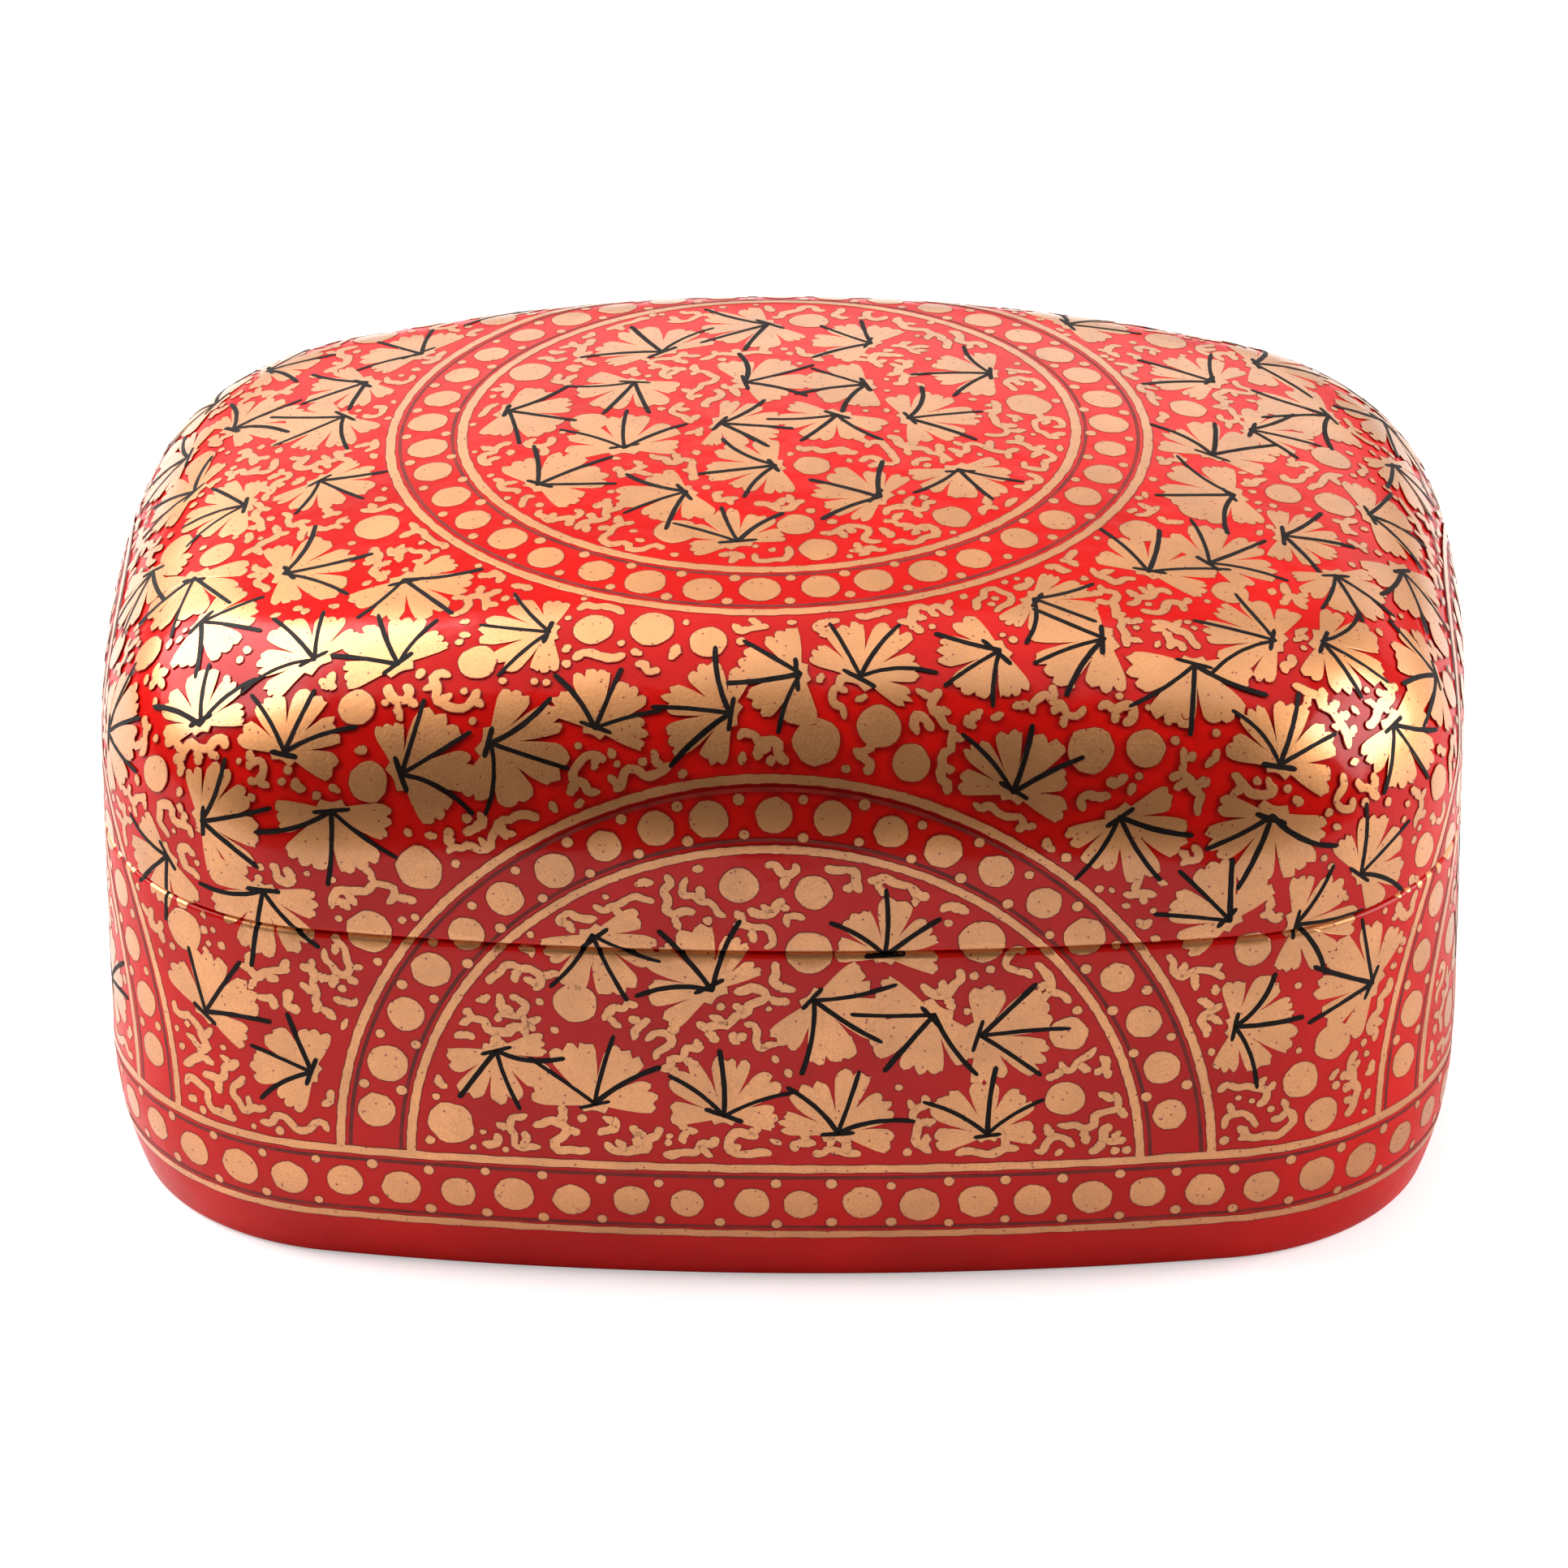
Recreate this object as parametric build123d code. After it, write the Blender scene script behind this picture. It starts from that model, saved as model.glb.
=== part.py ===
"""Papier mache box with a lift-off domed lid.

A moulded tray and a moulded lid meet at a level saw cut. A collar glued inside the mouth of the tray stands
proud of the cut, and the lid slips over it. A soft sheet lies on the floor of the tray.

Millimetres. X is the width, Y the depth with the front at -Y, Z is up. The origin is the middle of the
footprint, on the surface that the box stands on.
"""
import os
from math import atan2, cos, degrees, radians, sqrt

from build123d import *

# The outline seen from above: two long and two short bowed sides, joined by round corners
box_width = 127.0
box_depth = 92.0
long_side_radius = 262.0
short_side_radius = 231.0
corner_radius = 24.5

# The tray, whose foot turns in along an arc
base_height = 35.5
base_wall = 4.0
floor_thickness = 4.0
floor_cove = 3.0
foot_turn_in = 2.45
foot_turn_height = 13.0
foot_bevel = 0.8

# The lid: a rolled shoulder under a low crown, which starts where the shoulder is still this steep
lid_height = 29.4
shoulder_height = 27.0
shoulder_radius = 20.0
shoulder_end_slope = 9.0
ceiling_drop = 4.0
ceiling_bevel = 11.0

# The collar between them, bent from one strip whose ends meet at the middle of the back
collar_thickness = 1.6
collar_glued_depth = 9.0
collar_stand = 7.0
collar_joint_gap = 0.5
collar_clearance = 0.5
collar_bevel = 0.4

# The saw cut, whose two outer edges are rubbed down
seam_bevel = 0.5

# The sheet on the floor
lining_thickness = 1.0
lining_clearance = 0.4

half_width = box_width / 2
half_depth = box_depth / 2
lid_wall = base_wall - collar_clearance
box_height = base_height + lid_height


def outline(inset=0.0, z=0.0):
    """Face at height z inside the outline of the walls, moved in by inset."""
    long_bow = Circle(long_side_radius - inset)
    long_centre = long_side_radius - half_depth
    short_bow = Circle(short_side_radius - inset)
    short_centre = short_side_radius - half_width
    between_long_sides = (Pos(0, long_centre) * long_bow) & (Pos(0, -long_centre) * long_bow)
    between_short_sides = (Pos(short_centre, 0) * short_bow) & (Pos(-short_centre, 0) * short_bow)
    bowed = between_long_sides & between_short_sides
    return Pos(0, 0, z) * fillet(bowed.vertices(), corner_radius - inset)


def block(inset, bottom, top):
    """Upright block inside the outline, from one height to another."""
    return extrude(outline(inset, bottom), amount=top - bottom)


def top_face(solid):
    return solid.faces().sort_by(Axis.Z)[-1]


def bottom_face(solid):
    return solid.faces().sort_by(Axis.Z)[0]


def foot_section(wall_radius):
    """What the turned-in foot lacks below a straight wall, drawn at the wall's distance from its centre."""
    turn_radius = (foot_turn_height**2 + foot_turn_in**2) / (2 * foot_turn_in)
    bevel_depth = turn_radius - sqrt(turn_radius**2 - (foot_turn_height - foot_bevel) ** 2)
    middle = foot_turn_height / 2
    middle_depth = turn_radius - sqrt(turn_radius**2 - (foot_turn_height - middle) ** 2)
    wall_top = (wall_radius, 0, foot_turn_height)
    turned = (wall_radius - middle_depth, 0, middle)
    bevel_top = (wall_radius - bevel_depth, 0, foot_bevel)
    bevel_foot = (wall_radius - foot_turn_in - foot_bevel, 0, 0)
    wall_foot = (wall_radius, 0, 0)
    arc = ThreePointArc(wall_top, turned, bevel_top)
    return make_face([arc, Line(bevel_top, bevel_foot), Line(bevel_foot, wall_foot), Line(wall_foot, wall_top)])


def foot_cut(side):
    """The foot's section turned round the centre of one arc of the outline, over the length of that arc."""
    centre = side.arc_center
    towards_middle = side.position_at(0.5) - centre
    swept_angle = degrees(side.length / side.radius)
    start_angle = degrees(atan2(towards_middle.Y, towards_middle.X)) - swept_angle / 2
    turned = revolve(foot_section(side.radius), Axis.Z, swept_angle)
    return Pos(centre.X, centre.Y, 0) * Rot(0, 0, start_angle) * turned


def base_shell():
    """Moulded tray: bowed walls on a floor, open at the saw cut."""
    tray = block(0, 0, base_height)
    tray -= [foot_cut(side) for side in outline().edges()]
    tray = chamfer(top_face(tray).edges(), seam_bevel)
    cavity = block(base_wall, floor_thickness, base_height)
    cavity = chamfer(bottom_face(cavity).edges(), floor_cove)
    return tray - cavity


def crown(shoulder):
    """Low dome that fills the level top of the shoulder and rises to the height of the lid."""
    level = top_face(shoulder)
    dome = Face.make_surface(level.outer_wire(), surface_points=[(0, 0, box_height)])
    return Solid(Shell([dome, level]))


def lid_shell():
    """Moulded lid: short walls, a rolled shoulder and a low crown, open at the saw cut."""
    shoulder_top = base_height + shoulder_height
    shoulder = block(0, base_height, shoulder_top)
    shoulder = fillet(top_face(shoulder).edges(), shoulder_radius)
    crown_edge = shoulder_top - shoulder_radius * (1 - cos(radians(shoulder_end_slope)))
    shoulder = split(shoulder, Plane.XY.offset(crown_edge), keep=Keep.BOTTOM)
    lid = shoulder + crown(shoulder)
    lid = chamfer(bottom_face(lid).edges(), seam_bevel)
    hollow = block(lid_wall, base_height, shoulder_top - ceiling_drop)
    hollow = chamfer(top_face(hollow).edges(), ceiling_bevel)
    return lid - hollow


def rim_collar():
    """Strip glued inside the mouth of the tray, standing proud to locate the lid."""
    ring = outline(base_wall) - outline(base_wall + collar_thickness)
    ring -= Pos(0, half_depth) * Rectangle(collar_joint_gap, 2 * (base_wall + 2 * collar_thickness))
    strip = extrude(Pos(0, 0, base_height - collar_glued_depth) * ring, amount=collar_glued_depth + collar_stand)
    return chamfer(top_face(strip).edges(), collar_bevel)


def floor_lining():
    """Soft sheet lying on the floor, inside the cove at the foot of the walls."""
    inset = base_wall + floor_cove + lining_clearance
    return block(inset, floor_thickness, floor_thickness + lining_thickness)


pieces = {
    "base_shell": base_shell(),
    "lid_shell": lid_shell(),
    "rim_collar": rim_collar(),
    "floor_lining": floor_lining(),
}

os.makedirs("parts", exist_ok=True)
for name, piece in pieces.items():
    export_step(piece, f"parts/{name}.step")
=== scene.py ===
"""Dresses a kashmiri papier mache box: lacquered shells, gold ornament, ink veins, velvet and a studio."""
from functools import lru_cache, partial
from math import atan2, cos, pi, radians, sin

import bmesh
import bpy
import numpy as np
from bpy.props import FloatProperty, FloatVectorProperty, IntProperty, PointerProperty
from mathutils import Matrix, Vector


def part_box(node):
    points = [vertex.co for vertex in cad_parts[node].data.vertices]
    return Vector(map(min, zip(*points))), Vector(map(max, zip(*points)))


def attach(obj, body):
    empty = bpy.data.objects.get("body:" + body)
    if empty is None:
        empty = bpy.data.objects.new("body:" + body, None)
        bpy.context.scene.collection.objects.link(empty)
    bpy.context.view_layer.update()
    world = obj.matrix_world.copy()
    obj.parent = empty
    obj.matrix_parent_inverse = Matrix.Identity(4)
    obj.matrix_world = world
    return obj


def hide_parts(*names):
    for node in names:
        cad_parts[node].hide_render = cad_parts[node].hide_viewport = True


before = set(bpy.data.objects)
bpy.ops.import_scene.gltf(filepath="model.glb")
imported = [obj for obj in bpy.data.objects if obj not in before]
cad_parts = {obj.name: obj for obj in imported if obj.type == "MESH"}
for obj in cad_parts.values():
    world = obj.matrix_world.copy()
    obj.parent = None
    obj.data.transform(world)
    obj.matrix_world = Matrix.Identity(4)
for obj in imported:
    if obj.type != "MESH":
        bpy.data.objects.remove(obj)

bl_info = {
    "name": "Papier mache box",
    "version": (1, 0, 0),
    "blender": (4, 5, 0),
    "location": "3D View > Sidebar > Papier mache",
    "description": "Lacquered papier mache box with gold chinar leaf ornament",
    "category": "Object",
}

MM = 0.001
LID_LOW, LID_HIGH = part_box("lid_shell")
_, BASE_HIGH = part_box("base_shell")
LINING_LOW, LINING_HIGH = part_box("floor_lining")
SEAM = LID_LOW.z
TOP = LID_HIGH.z
HALF_WIDTH = BASE_HIGH.x
HALF_DEPTH = BASE_HIGH.y

TINY = 1e-12
SAME_PLACE = 1e-7

# Paint within this height of the saw cut is cut by level planes, this far above it and below it
CUT_REACH = 0.6 * MM
CUT_STEPS = (0.0, 0.06 * MM, 0.14 * MM, 0.28 * MM, 0.5 * MM)

# Middle of the ring on the crown
RING_X = -1.5 * MM
RING_Y = 3.5 * MM

# Width of the steep rim of the gold, height of the thin dark film under its edge (partly paint bleed, partly
# painted shade), and how far that reaches in under round dabs and under leaves
RIM = 0.035 * MM
FILM = 0.012 * MM
EDGE_OVERLAP = 0.35 * MM
LEAF_EDGE_OVERLAP = 0.3 * MM

# A painted face is a top if the cosine of its angle with the surface below is more than this, or else a rim
TOP_LEAN = 0.94

# Points round each ring of the two shells
COLUMNS = 480

# The two colour sockets of a Mix node, whose names its other sockets share
FIRST, SECOND = 6, 7


def linear(colour):
    """Linear RGBA of an sRGB colour written as six hex digits."""
    srgb = np.array([int(colour[place:place + 2], 16) / 255 for place in (0, 2, 4)])
    rgb = np.where(srgb <= 0.04045, srgb / 12.92, ((srgb + 0.055) / 1.055) ** 2.4)
    return (*rgb.tolist(), 1.0)


def length_of(name, description, millimetres):
    """Property for a length, kept in metres and given here in millimetres."""
    metres = millimetres * MM
    return FloatProperty(name=name, description=description, default=metres, unit="LENGTH", precision=5)


def colour_of(name, description, colour):
    """Property for a colour, kept as linear RGBA and given here as sRGB hex."""
    return FloatVectorProperty(
        name=name, description=description, default=linear(colour), subtype="COLOR", size=4, min=0, max=1
    )


class BoxForm(bpy.types.PropertyGroup):
    """Sizes of the moulded shells"""

    long_side_radius: length_of("Long side bow", "Radius of the bowed front and back", 262)
    short_side_radius: length_of("Short side bow", "Radius of the bowed ends", 231)
    corner_radius: length_of("Corner", "Radius of the upright corners", 24.5)
    shoulder_radius: length_of("Shoulder", "Radius of the roll between wall and crown", 18)
    crown_radius: length_of("Crown", "Radius of the low domed top", 254)
    foot_height: length_of("Foot height", "Height at which the foot starts to turn in", 13)
    foot_turn_in: length_of("Foot turn-in", "How far the foot turns in at the bottom", 2.45)
    foot_round: length_of("Foot round", "Radius of the bottom edge", 0.9)
    seam_round: length_of("Seam round", "Radius of the two edges at the saw cut", 0.5)
    seam_gap: length_of("Seam gap", "Half the dark gap at the saw cut", 0.05)
    lid_wall: length_of("Lid wall", "Thickness of the lid", 3.5)
    base_wall: length_of("Tray wall", "Thickness of the tray's walls", 4)
    floor: length_of("Tray floor", "Thickness of the tray's floor", 4)
    floor_round: length_of("Floor round", "Radius inside the tray between wall and floor", 3)


class Ornament(bpy.types.PropertyGroup):
    """Sizes of the painted ornament"""

    seed: IntProperty(name="Seed", description="Another number gives another layout", default=7)
    paint: length_of("Paint", "How proud the gold paint stands", 0.035)
    # The dark edge round the gold is partly paint bleed and partly painted shade at the gold's rim
    outline: length_of("Outline", "Width of the dark edge round the gold", 0.09)
    leaf: length_of("Leaf", "Length of a chinar leaf", 6.6)
    disc: length_of("Disc", "Diameter of a loose gold disc", 3.9)
    disc_share: FloatProperty(name="Discs", description="Loose discs for each leaf", default=0.6)
    bead: length_of("Bead", "Diameter of a bead in a band", 3.5)
    bead_step: length_of("Bead step", "Spacing of the beads in a band", 5.3)
    dot: length_of("Dot", "Diameter of the dots between beads", 1.0)
    line: length_of("Line", "Width of the gold lines beside a band", 0.85)
    stroke: length_of("Stroke", "Width of the gold squiggles", 0.84)
    ink: length_of("Ink", "Width of the black veins", 0.5)
    gap: length_of("Gap", "Red left between two painted shapes", 0.29)
    arch_outer: length_of("Arch outside", "Radius of the arch's outer line on the long sides", 40)
    end_arch_outer: length_of("End arch outside", "Radius of the arch's outer line on the ends", 38)
    arch_band: length_of("Arch band", "Distance between the two lines of an arch", 6.6)
    ring_outer: length_of("Ring outside", "Radius of the outer line on the crown", 35.3)
    ring_band: length_of("Ring band", "Distance between the two lines on the crown", 6.7)
    foot_band_top: length_of("Foot band top", "Height of the upper line round the foot", 12.9)
    foot_band_bottom: length_of("Foot band bottom", "Height of the lower line round the foot", 5.3)


class Finish(bpy.types.PropertyGroup):
    """Colours of the finishes"""

    red: colour_of("Red lacquer", "Ground colour", "CC100A")
    gold: colour_of("Gold paint", "Ornament colour", "EDA56A")
    # Dark red of the film round the gold, partly paint bleed and partly painted shade; the gold's dark pits
    # use it too
    edge: colour_of("Paint edge", "Dark red at the edge of the gold", "8E0E0C")
    ink: colour_of("Ink", "Leaf veins", "140B08")
    inside: colour_of("Inside lacquer", "Inside of both shells and the collar", "0E0C0C")
    velvet: colour_of("Velvet", "Sheet on the tray floor", "7A0C18")


# ---------------------------------------------------------------- the surface of the box


def unit(vectors):
    """Vectors divided by their own lengths."""
    return vectors / np.linalg.norm(vectors, axis=-1, keepdims=True)


class Skin:
    """Outside surface of the box, as a distance: nought on the surface and negative inside.

    Seen from above it is eight arcs. Upwards it is a wall, a rolled shoulder and a crown that is part of a
    sphere.
    """

    def __init__(self, form):
        self.form = form
        long_centre = form.long_side_radius - HALF_DEPTH
        short_centre = form.short_side_radius - HALF_WIDTH
        self.long_centre = long_centre
        self.short_centre = short_centre
        self.corner = self.corner_centre()
        lean_long = atan2(self.corner[0], self.corner[1] + long_centre)
        lean_short = atan2(self.corner[1], self.corner[0] + short_centre)
        turn = pi / 2 - lean_long - lean_short
        spans = [lean_long, turn, 2 * lean_short, turn, 2 * lean_long, turn, 2 * lean_short, turn, lean_long]
        across, along = self.corner
        self.centres = np.array(
            [
                (0, long_centre), (across, -along), (-short_centre, 0), (across, along), (0, -long_centre),
                (-across, along), (short_centre, 0), (-across, -along), (0, long_centre),
            ]
        )
        corner, long_bow, short_bow = form.corner_radius, form.long_side_radius, form.short_side_radius
        self.radii = np.array(
            [long_bow, corner, short_bow, corner, long_bow, corner, short_bow, corner, long_bow]
        )
        self.starts = np.cumsum([-pi / 2] + spans[:-1])
        self.lengths = np.concatenate([[0], np.cumsum(self.radii * spans)])
        self.perimeter = self.lengths[-1]
        self.crown_centre = np.array([0, 0, TOP - form.crown_radius])
        self.foot_radius = (form.foot_height**2 + form.foot_turn_in**2) / (2 * form.foot_turn_in)

    def corner_centre(self):
        """Where a circle inside the long bow meets one inside the short bow, both a corner radius smaller."""
        form = self.form
        first = np.array([0, -self.long_centre])
        second = np.array([-self.short_centre, 0])
        first_radius = form.long_side_radius - form.corner_radius
        second_radius = form.short_side_radius - form.corner_radius
        apart = np.linalg.norm(second - first)
        along = (first_radius**2 - second_radius**2 + apart**2) / (2 * apart)
        beside = np.sqrt(first_radius**2 - along**2)
        way = (second - first) / apart
        return first + along * way + beside * np.array([way[1], -way[0]])

    def outline(self, distance, inset=0.0):
        """Point and outward normal of the outline, moved in by inset, at a distance from the front's middle:
        the arc's centre plus its radius along the angle reached."""
        distance = np.mod(distance, self.perimeter)
        arc = np.clip(np.searchsorted(self.lengths, distance, side="right") - 1, 0, len(self.radii) - 1)
        angle = self.starts[arc] + (distance - self.lengths[arc]) / self.radii[arc]
        normal = np.stack([np.cos(angle), np.sin(angle)], -1)
        return self.centres[arc] + normal * (self.radii[arc] - inset)[..., None], normal

    def depth_inside(self, x, y):
        """Distance in from the outline, and the outward normal there: each arc's radius less the distance
        from its centre, in the first quadrant, mirrored to the others."""
        form = self.form
        across, along = np.abs(x), np.abs(y)
        long_x, long_y = across, along + self.long_centre
        short_x, short_y = across + self.short_centre, along
        corner_x, corner_y = self.corner
        on_long = corner_x * long_y - (corner_y + self.long_centre) * long_x > 0
        on_short = (corner_x + self.short_centre) * short_y - corner_y * short_x < 0
        away_x = np.where(on_long, long_x, np.where(on_short, short_x, across - corner_x))
        away_y = np.where(on_long, long_y, np.where(on_short, short_y, along - corner_y))
        sides = np.where(on_short, form.short_side_radius, form.corner_radius)
        radius = np.where(on_long, form.long_side_radius, sides)
        away = np.hypot(away_x, away_y) + TINY
        return radius - away, np.sign(x) * away_x / away, np.sign(y) * away_y / away

    def field(self, points):
        """Distance from the surface and its gradient.

        Above the foot it is the distance from the nearest place where the centre of a ball of the shoulder's
        radius can roll, inside the wall and under the crown, less that radius. Below, it is the distance from
        the axis of the foot's arc, less the radius of that arc.
        """
        form = self.form
        depth, normal_x, normal_y = self.depth_inside(points[..., 0], points[..., 1])
        wall = np.stack([normal_x, normal_y, np.zeros_like(normal_x)], -1)
        past_wall = form.shoulder_radius - depth
        from_centre = points - self.crown_centre
        far = np.linalg.norm(from_centre, axis=-1)
        dome = from_centre / far[..., None]
        past_dome = far - (form.crown_radius - form.shoulder_radius)
        slant = np.sum(wall * dome, -1)
        spread = 1 - slant**2
        along_wall = (past_wall - past_dome * slant) / spread
        along_dome = (past_dome - past_wall * slant) / spread
        along_wall = np.where(along_dome <= 0, np.maximum(past_wall, 1e-9), np.maximum(along_wall, 0))
        along_dome = np.where(along_wall <= 0, past_dome, np.maximum(along_dome, 0))
        away = along_wall[..., None] * wall + along_dome[..., None] * dome
        reach = np.linalg.norm(away, axis=-1) + TINY
        distance, gradient = reach - form.shoulder_radius, away / reach[..., None]
        below = form.foot_height - points[..., 2]
        foot = wall * (self.foot_radius - depth)[..., None]
        foot[..., 2] = -below
        foot_reach = np.linalg.norm(foot, axis=-1)
        low = below > 0
        distance = np.where(low, foot_reach - self.foot_radius, distance)
        return distance, np.where(low[..., None], foot / foot_reach[..., None], gradient)

    def settle(self, points, steps=2):
        """Points moved on to the surface along its gradient, and the outward normals there."""
        for _ in range(steps):
            distance, gradient = self.field(points)
            points = points - distance[..., None] * gradient
        return points, self.field(points)[1]

    def ball_height(self, outline_points, normals):
        """Height of the rolled ball's centre beside each point of the outline: on a sphere about the crown's
        centre, smaller than the crown by the ball's radius."""
        form = self.form
        inner = outline_points - normals * form.shoulder_radius
        reach = (form.crown_radius - form.shoulder_radius) ** 2 - np.sum(inner**2, -1)
        return self.crown_centre[2] + np.sqrt(reach)

    def wall(self, distance, height):
        """Points of the side at a distance round the outline and a height measured up along the surface:
        straight up to the rolled ball's centre, and round the ball from there."""
        roll_radius = self.form.shoulder_radius
        at, normal = self.outline(distance)
        centre = self.ball_height(at, normal)
        roll = np.clip((height - centre) / roll_radius, 0, pi / 2)
        inset = roll_radius * (1 - np.cos(roll))
        rise = np.where(height < centre, height, centre + roll_radius * np.sin(roll))
        return np.concatenate([at - normal * inset[..., None], rise[..., None]], -1)

    def crown(self, x, y):
        """Points of the crown above x and y."""
        rise = np.sqrt(self.form.crown_radius**2 - x**2 - y**2)
        return np.stack([x, y, self.crown_centre[2] + rise], -1)

    def seam_inset(self, height):
        """How far the rounded edges at the saw cut fall back: a quarter circle above it and another below."""
        edge = self.form.seam_round
        near = np.clip(np.abs(height - SEAM) - self.form.seam_gap, 0, edge)
        return edge - np.sqrt(edge**2 - (edge - near) ** 2)

    def tangents(self, normals, turn):
        """Two directions in the surface: the level one, or X where the surface is level itself, turned about
        the normal by an angle, and the one square to it."""
        level = np.cross([0.0, 0.0, 1.0], normals)
        fallback = np.broadcast_to([1.0, 0.0, 0.0], level.shape)
        flat = np.linalg.norm(level, axis=-1, keepdims=True) < 1e-3
        level = unit(np.where(flat, fallback, level))
        other = np.cross(normals, level)
        first = level * np.cos(turn)[..., None] + other * np.sin(turn)[..., None]
        return first, np.cross(normals, first)


# ---------------------------------------------------------------- meshes


def without_flat(faces):
    """The faces whose three corners differ."""
    whole = (faces[:, 0] != faces[:, 1]) & (faces[:, 1] != faces[:, 2]) & (faces[:, 2] != faces[:, 0])
    return faces[whole]


def grid_faces(index):
    """Two triangles for each cell of a grid of vertex numbers, without the flat ones at a pole."""
    corners = [index[:-1, :-1], index[:-1, 1:], index[1:, 1:], index[1:, :-1]]
    first, second, third, fourth = (corner.ravel() for corner in corners)
    halves = [np.stack([first, second, third], -1), np.stack([first, third, fourth], -1)]
    return without_flat(np.concatenate(halves))


def repeated(faces, vertices, copies):
    """The same faces for each of several copies of a shape."""
    return (faces[None] + (np.arange(copies) * vertices)[:, None, None]).reshape(-1, 3)


def make_object(name, vertices, faces, materials, face_material=None):
    """Mesh object of triangles, smooth, at the origin."""
    mesh = bpy.data.meshes.new(name)
    mesh.vertices.add(len(vertices))
    mesh.vertices.foreach_set("co", vertices.astype(np.float32).ravel())
    mesh.loops.add(3 * len(faces))
    mesh.loops.foreach_set("vertex_index", faces.astype(np.int32).ravel())
    mesh.polygons.add(len(faces))
    mesh.polygons.foreach_set("loop_start", np.arange(0, 3 * len(faces), 3, dtype=np.int32))
    mesh.update(calc_edges=True)
    mesh.polygons.foreach_set("use_smooth", np.ones(len(faces), dtype=bool))
    for material in materials:
        mesh.materials.append(material)
    if face_material is not None:
        mesh.polygons.foreach_set("material_index", face_material.astype(np.int32))
    mesh.validate()
    piece = bpy.data.objects.new(name, mesh)
    bpy.context.scene.collection.objects.link(piece)
    return piece


def cut_at_seam(vertices, faces):
    """The same mesh with edges along the saw cut and beside it, so that paint can follow its rounding.

    The faces near the cut go into a mesh of their own, which level planes cut at the cut and beside it.
    """
    above = vertices[faces, 2].max(1) > SEAM - CUT_REACH
    below = vertices[faces, 2].min(1) < SEAM + CUT_REACH
    crossing = above & below
    if not crossing.any():
        return vertices, faces
    mesh = bpy.data.meshes.new("cutting")
    used, local = np.unique(faces[crossing], return_inverse=True)
    mesh.from_pydata(vertices[used].tolist(), [], local.reshape(-1, 3).tolist())
    work = bmesh.new()
    work.from_mesh(mesh)
    for offset in CUT_STEPS:
        for side in (-1, 1):
            geometry = work.verts[:] + work.edges[:] + work.faces[:]
            plane = (0, 0, SEAM + side * offset)
            bmesh.ops.bisect_plane(work, geom=geometry, plane_co=plane, plane_no=(0, 0, 1), dist=1e-8)
    bmesh.ops.triangulate(work, faces=work.faces[:])
    work.to_mesh(mesh)
    work.free()
    extra = np.empty(3 * len(mesh.vertices))
    mesh.vertices.foreach_get("co", extra)
    extra_faces = np.empty(3 * len(mesh.polygons), dtype=np.int32)
    mesh.loops.foreach_get("vertex_index", extra_faces)
    bpy.data.meshes.remove(mesh)
    joined = np.concatenate([vertices, extra.reshape(-1, 3)])
    return joined, np.concatenate([faces[~crossing], extra_faces.reshape(-1, 3) + len(vertices)])


def merge(vertices, faces):
    """The same mesh with equal vertices made one, and without faces that are flat or there twice."""
    keys = np.round(vertices / SAME_PLACE).astype(np.int64)
    _, first, same = np.unique(keys, axis=0, return_index=True, return_inverse=True)
    faces = without_flat(same.reshape(-1)[faces])
    _, once = np.unique(np.sort(faces, axis=1), axis=0, return_index=True)
    used, local = np.unique(faces[np.sort(once)], return_inverse=True)
    return vertices[first][used], local.reshape(-1, 3)


# ---------------------------------------------------------------- where the paint goes


class Ground:
    """Cells of the space round the box that paint has taken, kept three times: with a margin for whole
    shapes, a wider one for the middle line of strokes, and one between them for the last small dabs."""

    cell = 0.4 * MM
    spare_cells = 6

    def __init__(self, gap, half_stroke):
        self.low = np.array([-HALF_WIDTH, -HALF_DEPTH, 0]) - self.spare_cells * self.cell
        size = 2 * np.array([HALF_WIDTH, HALF_DEPTH, TOP / 2]) + 2 * self.spare_cells * self.cell
        shape = np.ceil(size / self.cell).astype(int) + 1
        self.shapes = np.zeros(shape, dtype=bool)
        self.strokes = np.zeros(shape, dtype=bool)
        self.dabs = np.zeros(shape, dtype=bool)
        self.margins = (
            (self.shapes, gap),
            (self.strokes, gap + half_stroke),
            (self.dabs, gap + 0.6 * half_stroke),
        )

    def cells(self, points):
        """Numbers of the cells that hold the points."""
        place = np.round((points - self.low) / self.cell).astype(int)
        return tuple(np.clip(place, 0, np.array(self.shapes.shape) - 1).T)

    def ball(self, radius):
        """Steps from a cell to all cells within a radius."""
        reach = int(np.ceil(radius / self.cell))
        steps = np.arange(-reach, reach + 1)
        offsets = np.stack(np.meshgrid(steps, steps, steps), -1).reshape(-1, 3) * self.cell
        return offsets[np.linalg.norm(offsets, axis=-1) <= radius]

    def take(self, points, radius=0.0):
        """Takes the cells within radius and the margin of each point."""
        points = points.reshape(-1, 3)
        for taken, margin in self.margins:
            around = points[:, None] + self.ball(radius + margin)[None]
            taken[self.cells(around.reshape(-1, 3))] = True

    def free(self, points):
        """Whether all points are on ground that is free for shapes."""
        return not self.shapes[self.cells(points)].any()

    def all_free(self, shapes):
        """Whether each of several shapes is wholly on free ground."""
        taken = self.shapes[self.cells(shapes.reshape(-1, 3))]
        return ~taken.reshape(shapes.shape[0], -1).any(1)

    def free_for_stroke(self, points):
        """Whether the middle line of a stroke can pass each point."""
        return ~self.strokes[self.cells(points)]

    def free_for_dab(self, points):
        """Whether the end of a short dash or a dot can lie at each point."""
        return ~self.dabs[self.cells(points)]


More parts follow.
